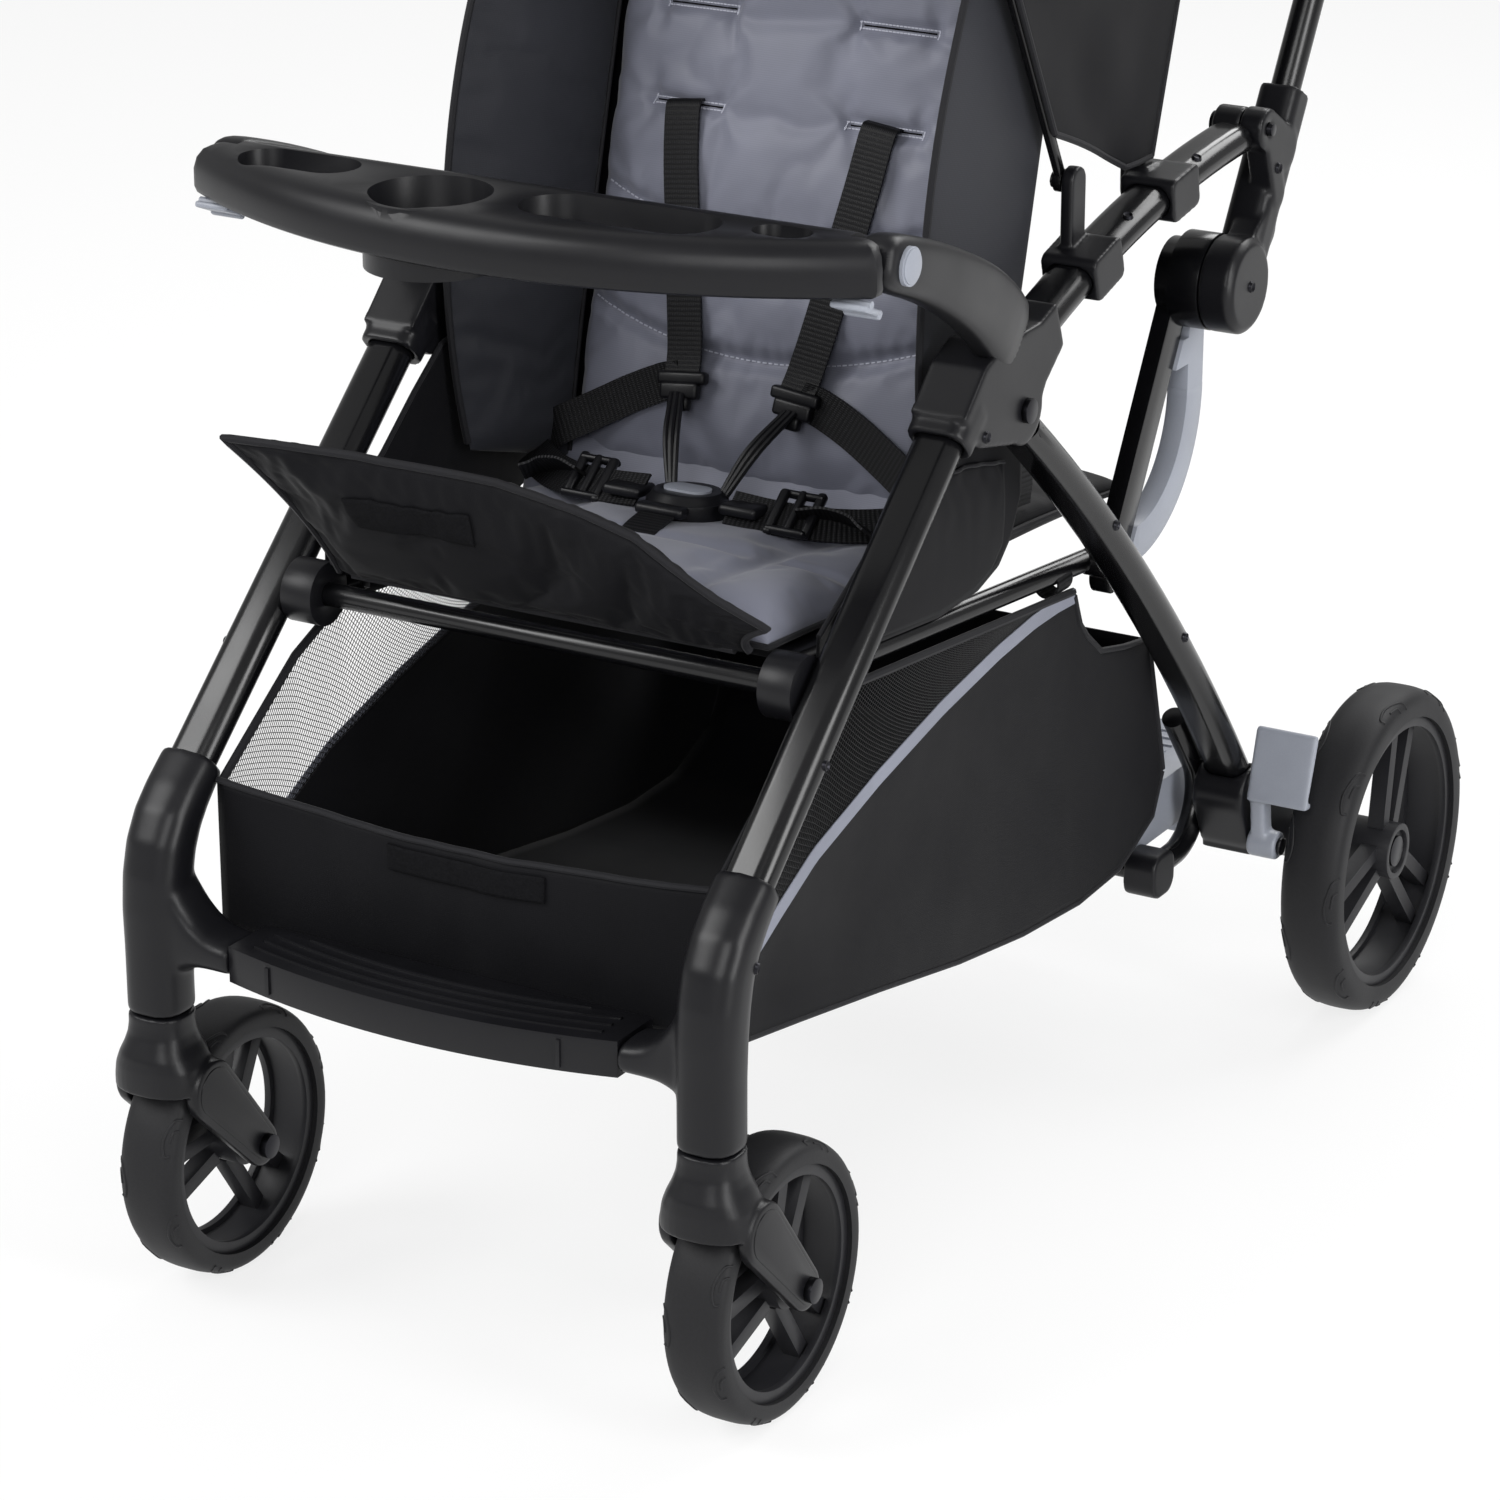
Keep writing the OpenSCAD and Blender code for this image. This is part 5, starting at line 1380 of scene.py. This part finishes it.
@dataclass
class SeatSides:
    """Cloth side walls of the front seat, each with a gathered pocket on its outside.

    Attributes:
        top: upper edge of the wall in side view.
        foot: lower edge of the wall.
        brim: upper edge of the pocket.
        base: lower edge of the pocket.
        out: place of the wall across.
    """

    top: Pairs = ((-312, 497), (-275, 518), (-240, 539), (-200, 572), (-165, 598), (-120, 604), (-60, 596),
                  (-30, 580))
    foot: Pairs = ((-312, 478), (-240, 469), (-148, 460), (-92, 462), (-62, 471), (-44, 487), (-30, 516))
    brim: Pairs = ((-292, 500), (-240, 530), (-165, 561), (-110, 556), (-60, 545))
    base: Pairs = ((-292, 482), (-240, 473), (-148, 463), (-100, 465), (-76, 472), (-60, 486))
    out: float = 190.4

    def wall(self, u: float, v: float) -> Vector:
        """Point of the right-hand wall, u from front to rear and v from foot to top."""
        y = mix(self.top[0][0], self.top[-1][0], (u + 1) / 2)
        rise = (v + 1) / 2
        fold = noise.noise(Vector((y * 0.016, rise * 1.2, 4.0))) * math.sin(math.pi * rise)
        return Vector((self.out - abs(fold), y, mix(line(self.foot, y), line(self.top, y), rise))) * MM

    def pocket(self, u: float, v: float) -> Vector:
        """Point of the right-hand pocket, whose elastic gathers its rear upper edge."""
        y = mix(self.brim[0][0], self.brim[-1][0], (u + 1) / 2)
        rise = (v + 1) / 2
        gather = max(0.0, min(1.0, (u + 0.3) * 1.2))
        wave = math.sin(u * 30 + 4 * noise.noise(Vector((u * 3, v * 1.6, 1.0))))
        bulge = 1.7 * math.sin(math.pi * rise) ** 0.7 + 1.1 * wave * rise ** 3
        z = mix(line(self.base, y), line(self.brim, y), rise)
        return Vector((self.out + 1.6 + gather * bulge, y, z)) * MM

    def build(self) -> None:
        """Makes both walls and pockets with their hems."""
        # Name, form, thickness and radius of the hem's cord
        kinds = (("wall", self.wall, 1.2, 2.0), ("pocket", self.pocket, 1.0, 1.4))
        for side, s in SIDES:
            hem = bmesh.new()
            for name, place, thick, cord in kinds:
                bm = sheet_mesh(90, 26, place, (280, 100))
                bmesh.ops.scale(bm, verts=bm.verts[:], vec=(s, 1, 1))
                made = piece(f"seat_{name}_{side}", bm, BLACK_WEAVE, 180)
                thicken(made, thick)
                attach(made, "frame")
                run = [place(k / 50, 1.0) for k in range(-50, 51)]
                add_tube(hem, [Vector((s * (p.x + MM), p.y, p.z)) for p in run], cord)
            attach(piece(f"seat_side_hem_{side}", hem, BINDING), "frame")


@dataclass
class SeatPad:
    """Cushion of the front seat, and the cloth that joins it to the back.

    Attributes:
        half: half its width.
    """

    half: float = 168.0

    def place(self, u: float, v: float, side: float) -> Vector:
        """Point of the cushion."""
        x = u * (self.half - 4 * (1 - v * v))
        s = 121 + v * (123 - 3 * (1 - u * u))
        full = falloff(u, v, 7)
        if side < 0:
            return SEAT.at(x, s, 23 - 6.2 * full)
        sewn = max(dip(abs(x) - 96, 14), 0.6 * dip(s - 108 - 20 * u * u, 14))
        return SEAT.at(x, s, 23 + (24 - 4 * v) * full - 5 * sewn * full)

    def build(self) -> None:
        """Makes the cushion and its piping."""
        made = piece("seat_cushion", pillow_mesh(64, 48, self.place, (336, 246)), SEAT_SATIN, 180)
        puff(made, lambda u, v, side: side < 0 or abs(u) > 0.999 or abs(v) > 0.999
             or abs(abs(u) * self.half - 96) < 4, 1.8, 0.018, 6)
        soften(made)
        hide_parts("seat_pad")
        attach(made, "frame")
        bm = bmesh.new()
        add_tube(bm, [self.place(u, v, 1.0) for u, v in edge_run()], 2.2, True)
        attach(piece("seat_piping", bm, BINDING), "frame")
        self.build_bight()

    def bight(self, u: float, v: float) -> Vector:
        """Point of the cloth that joins seat and back, v from the one to the other."""
        w = (v + 1) / 2
        fold = 0.0015 * noise.noise(Vector((u * 9, w * 2, 6.0))) * math.sin(math.pi * w)
        spot = SEAT.at(u * 166, 228, 41 - 14 * abs(u) ** 6).lerp(BACK.at(u * 178, -34, 50), w)
        return spot + Vector((0, 0, fold - 0.009 * math.sin(math.pi * w)))

    def build_bight(self) -> None:
        """Makes the cloth that joins seat and back."""
        made = piece("seat_bight", sheet_mesh(50, 12, self.bight, (320, 60)), SEAT_SATIN, 180)
        thicken(made, 1.4)
        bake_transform(made)


@dataclass
class LegFlap:
    """Padded flap at the seat's front edge, lifted at its left corner, with a hook patch beneath.

    Attributes:
        hinge: y and z of its seam.
        run: length of the flap across the seat.
        lift: its lift above the horizontal across the seat.
    """

    hinge: tuple[float, float] = (-341.46, 490.48)
    run: Pairs = ((-1.0, 142), (-0.5, 131), (0.0, 112), (0.3, 95), (0.52, 78), (0.8, 44), (1.0, 26))
    lift: Pairs = ((-1.0, 52), (-0.4, 58), (0.0, 64), (0.5, 68), (1.0, 60))

    def place(self, u: float, v: float, side: float) -> Vector:
        """Point of the flap, v from its seam to its free edge, side 1 on the seat's side."""
        x = u * (158 + (10 if u > 0 else 13.5) * (v + 1) ** 2 / 2 - 4 * (1 - v * v))
        reach = line(self.run, u) * (v + 1) / 2
        angle = math.radians(line(self.lift, u))
        full = falloff(u, v, 6)
        near = math.exp(-(1 - v) / 2 * line(self.run, u) / 13) + 0.5 * math.exp(-(1 - abs(u)) * 170 / 12)
        pucker = 1.5 * near * math.sin(x * 0.5 + 4 * noise.noise(Vector((x * 0.03, v, 8.0))))
        slack = 2.5 * noise.noise(Vector((x * 0.014, v * 1.4, 2.0)))
        thick = ((12 if side > 0 else -8) + math.copysign(pucker + slack, side)) * full
        return Vector((x, self.hinge[0] - reach * math.cos(angle) + thick * math.sin(angle),
                       self.hinge[1] + reach * math.sin(angle) + thick * math.cos(angle))) * MM

    def build(self) -> None:
        """Makes the flap, its piping and its patch."""
        made = piece("leg_flap_cushion", pillow_mesh(84, 36, self.place, (350, 138)), BLACK_WEAVE, 180)
        puff(made, lambda u, v, side: abs(u) > 0.999 or abs(v) > 0.999, 2.6, 0.03, 7)
        soften(made)
        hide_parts("leg_flap")
        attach(made, "leg_flap_body")
        bm = bmesh.new()
        edge = [(-1.0, k / 14) for k in range(-14, 14)] + [(k / 40, 1.0) for k in range(-40, 41)]
        edge += [(1.0, -k / 14) for k in range(-13, 15)]
        add_tube(bm, [self.place(u, v, 1.0) for u, v in edge], 2.8)
        add_tube(bm, [self.place(k / 20 * 0.93, -1.0, 1.0) for k in range(-20, 21)], 4.0)
        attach(piece("leg_flap_piping", bm, BINDING), "leg_flap_body")
        tree = BVHTree.FromObject(made, bpy.context.evaluated_depsgraph_get())

        def patch(u: float, v: float) -> Vector:
            """Point of the hook patch, just off the flap's underside."""
            a = self.place(mix(-0.62, -0.12, (u + 1) / 2), mix(0.2, 0.56, (v + 1) / 2), -1.0)
            near = tree.find_nearest(a)
            return near[0] + near[1] * 0.0012 if near[0] else a

        bm = sheet_mesh(40, 10, patch, (96, 26))
        hook = piece("leg_flap_patch", bm, LOOP_PILE_AND_SLOT_SHADE, 180)
        thicken(hook, 1.6)
        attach(hook, "leg_flap_body")


@dataclass
class Bench:
    """Rear bench with a rounded belly and a webbing belt.

    Attributes:
        start: its front edge along the seat.
        deep: its depth.
        belt: across, way back from the front edge and height of one half of the belt.
    """

    start: float = 322.0
    deep: float = 214.0
    belt: Rows = ((152, 60, 44), (150, 62, 66), (128, 66, 86), (98, 70, 82), (74, 72, 62), (60, 74, 52),
                  (40, 76, 51.5), (14, 78, 51.5))

    def place(self, u: float, v: float, side: float) -> Vector:
        """Point of the bench's cushion."""
        x = u * (162 - 4 * (1 - v * v))
        s = self.start + self.deep / 2 * (1 + v * (1 - 0.03 * (1 - u * u)))
        full = falloff(u, v, 6)
        n = 32 + (16 - 3 * dip(v, 0.15)) * full if side > 0 else 32 - 19 * full * (1 - 0.3 * v)
        return SEAT.at(x, s, n)

    def build(self) -> None:
        """Makes the cushion, its piping and the two halves of the belt."""
        made = piece("bench_cushion", pillow_mesh(48, 34, self.place, (324, 214)), BLACK_WEAVE, 180)
        soften(made)
        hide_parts("rear_bench")
        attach(made, "frame")
        bm = bmesh.new()
        add_tube(bm, [self.place(u, v, 1.0) for u, v in edge_run()], 2.4, True)
        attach(piece("bench_piping", bm, BINDING), "frame")
        bm = bmesh.new()
        for _, s in SIDES:
            run = path([SEAT.at(s * x, self.start + y, n) for x, y, n in self.belt])
            add_ribbon(bm, run, [Vector((0, 1, -0.1)).normalized()] * len(run), 25, 1.8)
        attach(piece("bench_belt", bm, WEBBING), "frame")


@dataclass
class Harness:
    """Five-point harness: shoulder and lap webbing, clips, adjusters and the buckle's tongues.

    Attributes:
        shoulder: across, depth and height along the back of a strap from its slot to its clip.
        slack: the same for the strap from the clip out to the wing.
        buckle: way back and height of the buckle on the seat.
        face_up: turn of the lap webbing's face, in degrees.
        slope: level and upward share of the lap webbing's width.
        web: width and thickness of the webbing.
    """

    shoulder: Rows = ((77, -34, 289), (77, -43, 289.5), (76.5, -49, 284), (72, -51, 250), (64, -51.5, 205),
                      (55, -52, 155), (48, -54, 118), (45, -60, 98))
    slack: Rows = ((46, -58, 100), (62, -54, 96), (88, -52, 84), (116, -53, 68), (140, -56, 54),
                   (152, -50, 46))
    buckle: tuple[float, float] = (176.0, 51.0)
    face_up: float = 38.0
    slope: tuple[float, float] = (0.79, 0.62)
    web: tuple[float, float] = (27.0, 1.8)

    def turned(self, run: Sequence[Vector], s: float) -> list[Vector]:
        """Width directions of lap webbing along a run, its face turned up and forward."""
        up = Vector((0, 0, 1))
        level = [(b - a).cross(up).normalized() for a, b in zip(run, run[1:])]
        wide = [(flat * (self.slope[0] * s) + up * self.slope[1]).normalized() for flat in level]
        return [*wide, wide[-1]]

    def build(self) -> None:
        """Makes the webbing on the back and on the seat, and the plastic on it."""
        straps, clips = bmesh.new(), bmesh.new()
        across = Vector((1, 0, 0))
        down = (BACK.at(0, 0, -1) - BACK.at(0, 0, 0)).normalized()
        for _, s in SIDES:
            run = path([BACK.at(s * x, m, t) for x, m, t in self.shoulder])
            add_ribbon(straps, run, [(across + down * (s * 0.12)).normalized()] * len(run), *self.web)
            slack = path([BACK.at(s * x, m, t) for x, m, t in self.slack])
            add_ribbon(straps, slack, [(across * (s * 0.5) - down).normalized()] * len(slack), *self.web)
            self.add_clip(clips, s)
        made = piece("shoulder_webbing", straps, WEBBING)
        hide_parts("shoulder_straps")
        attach(made, "backrest")
        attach(piece("shoulder_clips", clips, BLACK_ABS), "backrest")
        self.build_lap()
        self.build_hooks()

    def add_clip(self, bm: BMesh, s: float) -> None:
        """Adds a shoulder clip to a bmesh, s for its side: a bar frame, a plate and a narrow neck."""
        forms = ((45, -58, 101, 38, 9, 9), (45, -60, 92, 30, 8, 12), (44, -61, 83, 17, 8, 10))
        for x, m, t, wide, deep, tall in forms:
            add_block(bm, BACK.at(s * x, m, t), (wide, deep, tall), -BACK.angle, s * 6)

    def build_hooks(self) -> None:
        """Makes the hooks from the clips to the buckle, curved between them."""
        s0, n0 = self.buckle
        bm = bmesh.new()
        for _, s in SIDES:
            a, b = BACK.at(s * 45, -64, 90), SEAT.at(s * 20, s0 + 12, n0 + 12)
            mid = a.lerp(b, 0.5) + Vector((0, -0.004, 0.004))
            for shift, r in ((-3.2, 2.0), (0.0, 2.6), (3.2, 2.0)):
                off = Vector((shift * MM, 0, 0))
                add_tube(bm, path([a + off * 1.2, mid + off * 1.4, b + off * 0.7], 6), r)
        made = piece("buckle_hooks", bm, BLACK_ABS)
        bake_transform(made)

    def build_lap(self) -> None:
        """Makes the lap and crotch webbing, its adjusters and the buckle's tongues."""
        s0, _ = self.buckle
        webs, slides = bmesh.new(), bmesh.new()
        for _, s in SIDES:
            run = path([SEAT.at(s * x, y, n) for x, y, n in (
                (160, s0 + 58, 60), (148, s0 + 44, 60), (120, s0 + 22, 58), (92, s0 + 8, 58), (62, s0, 60),
                (34, s0 - 2, 62))], 8)
            add_ribbon(webs, run, self.turned(run, s), *self.web)
            tail = path([SEAT.at(s * x, y, n) for x, y, n in (
                (84, s0 + 4, 63), (104, s0 + 10, 66), (126, s0 + 14, 62), (140, s0 + 10, 56))], 8)
            add_ribbon(webs, tail, self.turned(tail, s), *self.web)
            for x, y, wide in ((94, 8, 7), (81, 5, 6), (68, 3, 7)):
                add_block(slides, SEAT.at(s * x, s0 + y, 63), (wide, 37, 6.5), self.face_up)
            for far in (-16, 16):
                bar = SEAT.at(s * 81, s0 + 5 + far * self.slope[0], 63 + far * self.slope[1])
                add_block(slides, bar, (32, 5, 7), self.face_up)
            add_block(slides, SEAT.at(s * 46, s0 - 1, 62), (30, 26, 8), -SEAT.angle, 0, 3.4)
        run = path([SEAT.at(0, s0 + y, n) for y, n in ((-74, 44), (-62, 52), (-46, 57), (-28, 61))], 6)
        add_ribbon(webs, run, [Vector((1, 0, 0))] * len(run), *self.web)
        made = piece("lap_webbing", webs, WEBBING)
        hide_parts("lap_harness")
        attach(made, "frame")
        add_block(slides, SEAT.at(0, s0 - 34, 60), (38, 13, 8), -SEAT.angle, 0, 3.4)
        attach(piece("lap_adjusters", slides, BLACK_ABS), "frame")


@dataclass
class Canopy:
    """Hood cloth stretched over two bows, its lower edge swept back to a point.

    Attributes:
        half: half its width.
        top: height of its crown.
        front: y and z of the front bow's feet.
        rear: y and z of the rear bow's feet.
        corner: radius of the bows' corners.
        leans: lean of the front bow forward and of the rear one back, in degrees.
    """

    half: float = 203.4
    top: float = 992.0
    front: tuple[float, float] = (9.77, 724.96)
    rear: tuple[float, float] = (127.77, 704.96)
    corner: float = 88.0
    leans: tuple[float, float] = (29.0, 18.3)

    def arch(self, a: float, half: float, h: float, foot: float) -> tuple[float, float]:
        """Across and up of the run over an arch, a from 0 at the left foot to 1 at the right one."""
        r = self.corner
        if a > 0.5:
            x, z = self.arch(1 - a, half, h, foot)
            return -x, z
        if a < 0.36:
            return -half, foot + (h - r - foot) * a / 0.36
        if a < 0.46:
            angle = math.pi / 2 * (a - 0.36) / 0.1
            return -half + r * (1 - math.cos(angle)), h - r + r * math.sin(angle)
        return (half - r) * (a - 0.5) / 0.04, h

    def place(self, u: float, v: float) -> Vector:
        """Point of the cloth, u over the arch and v from the front bow to the rear one."""
        a, w = (u + 1) / 2, (v + 1) / 2
        a = line(((0.0, 0.0), (0.3, 0.36), (0.44, 0.46), (0.56, 0.54), (0.7, 0.64), (1.0, 1.0)), a)
        foot = 38 - 46 * w if w < 0.72 else 4.9 + (w - 0.72) * 20
        base_y = mix(self.front[0] - 4, self.rear[0] + 4, w)
        base_z = mix(self.front[1], self.rear[1], w)
        crown = 4 * w * (1 - w)
        sag = 7 * crown
        h = self.top - base_z - 10 * (1 - crown) - 0.6 * sag
        x, z = self.arch(a, self.half - 0.8 - 0.25 * sag, h, foot)
        lean = math.tan(math.radians(self.leans[0])) * (w - 1) + math.tan(math.radians(self.leans[1])) * w
        ripple = (2.4 * noise.noise(Vector((x * 0.012, w * 3.0, z * 0.014)))
                  + 1.6 * math.sin(w * 9 + z * 0.03) * math.exp(-(z - foot) / 90)) * crown
        side = math.copysign(1.0, x) if abs(x) > self.half - self.corner else 0.0
        return Vector((x + side * ripple, base_y + lean * z, base_z + z - (0 if side else ripple))) * MM

    def build(self) -> None:
        """Makes the cloth and the piping along its four edges."""
        made = piece("canopy_hood", sheet_mesh(150, 40, self.place, (900, 260)), BLACK_WEAVE, 180)
        thicken(made, 1.6)
        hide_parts("canopy_cloth")
        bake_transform(made)
        bm = bmesh.new()
        for v in (-1.0, 1.0):
            add_tube(bm, [self.place(k / 60, v) for k in range(-60, 61)], 2.4)
        for u in (-1.0, 1.0):
            add_tube(bm, [self.place(u, k / 16) for k in range(-16, 17)], 2.4)
        hem = piece("canopy_piping", bm, BINDING)
        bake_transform(hem)


@dataclass
class Basket:
    """Cloth basket under the seat: solid sides with a net above a grey tape, a front panel with a loop patch.

    Attributes:
        out: half width.
        low: lower edge of the side, from front to rear.
        tape: line of the grey tape.
        rail: upper edge of the net, under the seat rail.
        rear: upper edge of the solid side behind the tape, round the hand notch.
    """

    out: float = 190.6
    low: Pairs = ((-442, 263), (-408, 252), (-335, 239), (-227, 219), (-111, 196), (-14, 181), (75, 173),
                  (141, 176), (196, 199), (211, 230))
    tape: Pairs = ((-441, 286), (-404, 303), (-362, 325), (-315, 348), (-230, 373), (-140, 394), (-59, 408),
                   (-6, 414), (30, 415), (56, 414))
    rear: Pairs = ((56, 414), (60, 404), (66, 390), (77, 378), (101, 359), (140, 350), (180, 344), (196, 287),
                   (206, 251), (211, 232))
    rail: Pairs = ((-441, 366), (-352, 428), (-294, 452), (-184, 441), (36, 419), (56, 417))

    def edge(self, y: float) -> float:
        """Upper edge of the solid side at y."""
        return line((*self.tape, *self.rear[1:]), y)

    def wall(self, u: float, v: float) -> Vector:
        """Point of the right-hand solid side, u from front to rear and v from foot to edge."""
        y = mix(self.low[0][0], self.low[-1][0], (u + 1) / 2)
        w = (v + 1) / 2
        z = mix(line(self.low, y), self.edge(y), w)
        slack = math.sin(math.pi * w) * (1 - abs(u) ** 6)
        crease = noise.noise(Vector((y * 0.010 + z * 0.012, z * 0.004, 3.0)))
        return Vector((self.out - 4.0 * slack + 3.6 * crease * slack, y, z)) * MM

    def net(self, u: float, v: float) -> Vector:
        """Point of the right-hand net, between the tape and the rail."""
        y = mix(-440, 54, (u + 1) / 2)
        z = mix(line(self.tape, y), max(line(self.tape, y) + 0.5, line(self.rail, y)), (v + 1) / 2)
        return Vector((self.out - 1, y, z)) * MM

    def floor(self, u: float, v: float) -> Vector:
        """Point of the floor, u across and v from front to rear."""
        y = mix(self.low[0][0], self.low[-1][0], (v + 1) / 2)
        hang = 3 * (1 - u * u) * (1 - v ** 4)
        return Vector((u * self.out, y, line(self.low, y) + 1.5 - hang)) * MM

    def panel(self, u: float, v: float) -> Vector:
        """Point of the front panel, u across and v from foot to top."""
        w = (v + 1) / 2
        sag = 1 - u * u
        broad = noise.noise(Vector((u * 2.6, w * 1.5, 7.0)))
        small = noise.noise(Vector((u * 7, w * 2.0, 3.0)))
        crease = (broad + 0.5 * small) * sag
        y = -443 - 5 * sag * math.sin(math.pi * w * 0.8) + 4 * crease
        return Vector((u * self.out, y, mix(262, 369 - 9 * sag, w))) * MM

    def tail(self, u: float, v: float) -> Vector:
        """Point of the rear wall."""
        w = (v + 1) / 2
        y = mix(211, 181, w) + 3 * (1 - u * u) * math.sin(math.pi * w)
        return Vector((u * self.out, y, mix(230, 343, w))) * MM

    def build(self) -> None:
        """Makes the walls, the floor, the nets, the tape, the hems and the loop patch."""
        parts = []
        for side, s in SIDES:
            bm = sheet_mesh(120, 40, self.wall, (650, 170))
            bmesh.ops.scale(bm, verts=bm.verts[:], vec=(s, 1, 1))
            parts.append(piece(f"basket_side_{side}", bm, BLACK_WEAVE, 180))
        parts.append(piece("basket_floor", sheet_mesh(30, 60, self.floor, (380, 700)), BLACK_WEAVE, 180))
        parts.append(piece("basket_front", sheet_mesh(60, 16, self.panel, (380, 95)), BLACK_WEAVE, 180))
        parts.append(piece("basket_rear", sheet_mesh(30, 12, self.tail, (380, 95)), BLACK_WEAVE, 180))
        for made in parts:
            thicken(made, 1.3)
            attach(made, "frame")
        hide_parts("basket")
        self.build_nets()
        self.build_trim()

    def build_nets(self) -> None:
        """Knits the diamond net of both sides."""
        for side, s in SIDES:
            bm = sheet_mesh(110, 22, self.net, (494, 60))
            square = bm.edges[:]
            bmesh.ops.poke(bm, faces=bm.faces[:])
            inner = [e for e in square if e.is_valid and not e.is_boundary]
            bmesh.ops.dissolve_edges(bm, edges=inner, use_verts=False)
            bmesh.ops.scale(bm, verts=bm.verts[:], vec=(s, 1, 1))
            bmesh.ops.wireframe(bm, faces=bm.faces[:], thickness=0.0007, use_replace=True, use_boundary=True,
                                use_even_offset=False)
            made = piece(f"basket_net_{side}", bm, NET, 180)
            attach(made, "frame")

    def build_trim(self) -> None:
        """Sews on the tape, the hems, the ties and the loop patch."""
        tape, hems, ties = bmesh.new(), bmesh.new(), bmesh.new()
        for _, s in SIDES:
            run = [Vector((s * (self.out + 0.9), y, line(self.tape, y))) * MM for y in range(-440, 57, 8)]
            flat = [(b - a).cross(Vector((s, 0, 0))).normalized() for a, b in zip(run, run[1:])]
            add_ribbon(tape, run, [*flat, flat[-1]], 11, 0.8)
            add_tube(hems, [Vector((s * self.out, y, z)) * MM for y, z in self.rear], 2.4)
            add_tube(hems, [Vector((s * self.out, y, z)) * MM for y, z in self.low], 2.0)
            add_tube(hems, [Vector((s * (self.out - 1), y, z)) * MM for y, z in self.rail], 3.0)
        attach(piece("basket_tape", tape, TRIM_TAPE), "frame")
        add_tube(hems, [self.panel(k / 30, 1.0) for k in range(-30, 31)], 2.4)
        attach(piece("basket_hems", hems, BINDING), "frame")
        for _, s in SIDES:
            spot = Vector((s * 180, 44, 427)) * MM
            turns = [2 * math.pi * k / 24 for k in range(25)]
            ring = [spot + Vector((0, 0.0015 * math.sin(a), 0))
                    + Vector((math.cos(a), 0, math.sin(a))) * 0.0098 for a in turns]
            add_ribbon(ties, ring, [Vector((0, 1, 0))] * len(ring), 22, 1.4)
        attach(piece("basket_ties", ties, WEBBING), "frame")

        def patch(u: float, v: float) -> Vector:
            """Point of the loop patch, just off the panel's upper edge."""
            spot = self.panel(mix(-0.27, 0.36, (u + 1) / 2), mix(0.5, 0.86, (v + 1) / 2))
            return spot + Vector((0, -0.0017, 0))

        made = piece("basket_patch", sheet_mesh(36, 8, patch, (120, 20)), LOOP_PILE_AND_SLOT_SHADE, 180)
        thicken(made, 1.6)
        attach(made, "frame")


def main() -> None:
    """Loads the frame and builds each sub-assembly."""
    logging.basicConfig(level=logging.INFO, format="%(message)s")
    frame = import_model()
    Studio().build()
    HardParts().build(frame["nodes"])
    Tyre("front", (213.5, -420.375, 95.25), 190.5, 44.0, 15.5, 8).build()
    Tyre("rear", (287.5, 388.625, 127.0), 254.0, 47.0, 21.5, 9).build()
    for kind in (LegCasting, CasterFork, TrayArm, TrayLevers, Grip, BackRest, SeatSides, SeatPad, LegFlap,
                 Bench, Harness, Canopy, Basket):
        kind().build()


if __name__ == "__main__":
    main()
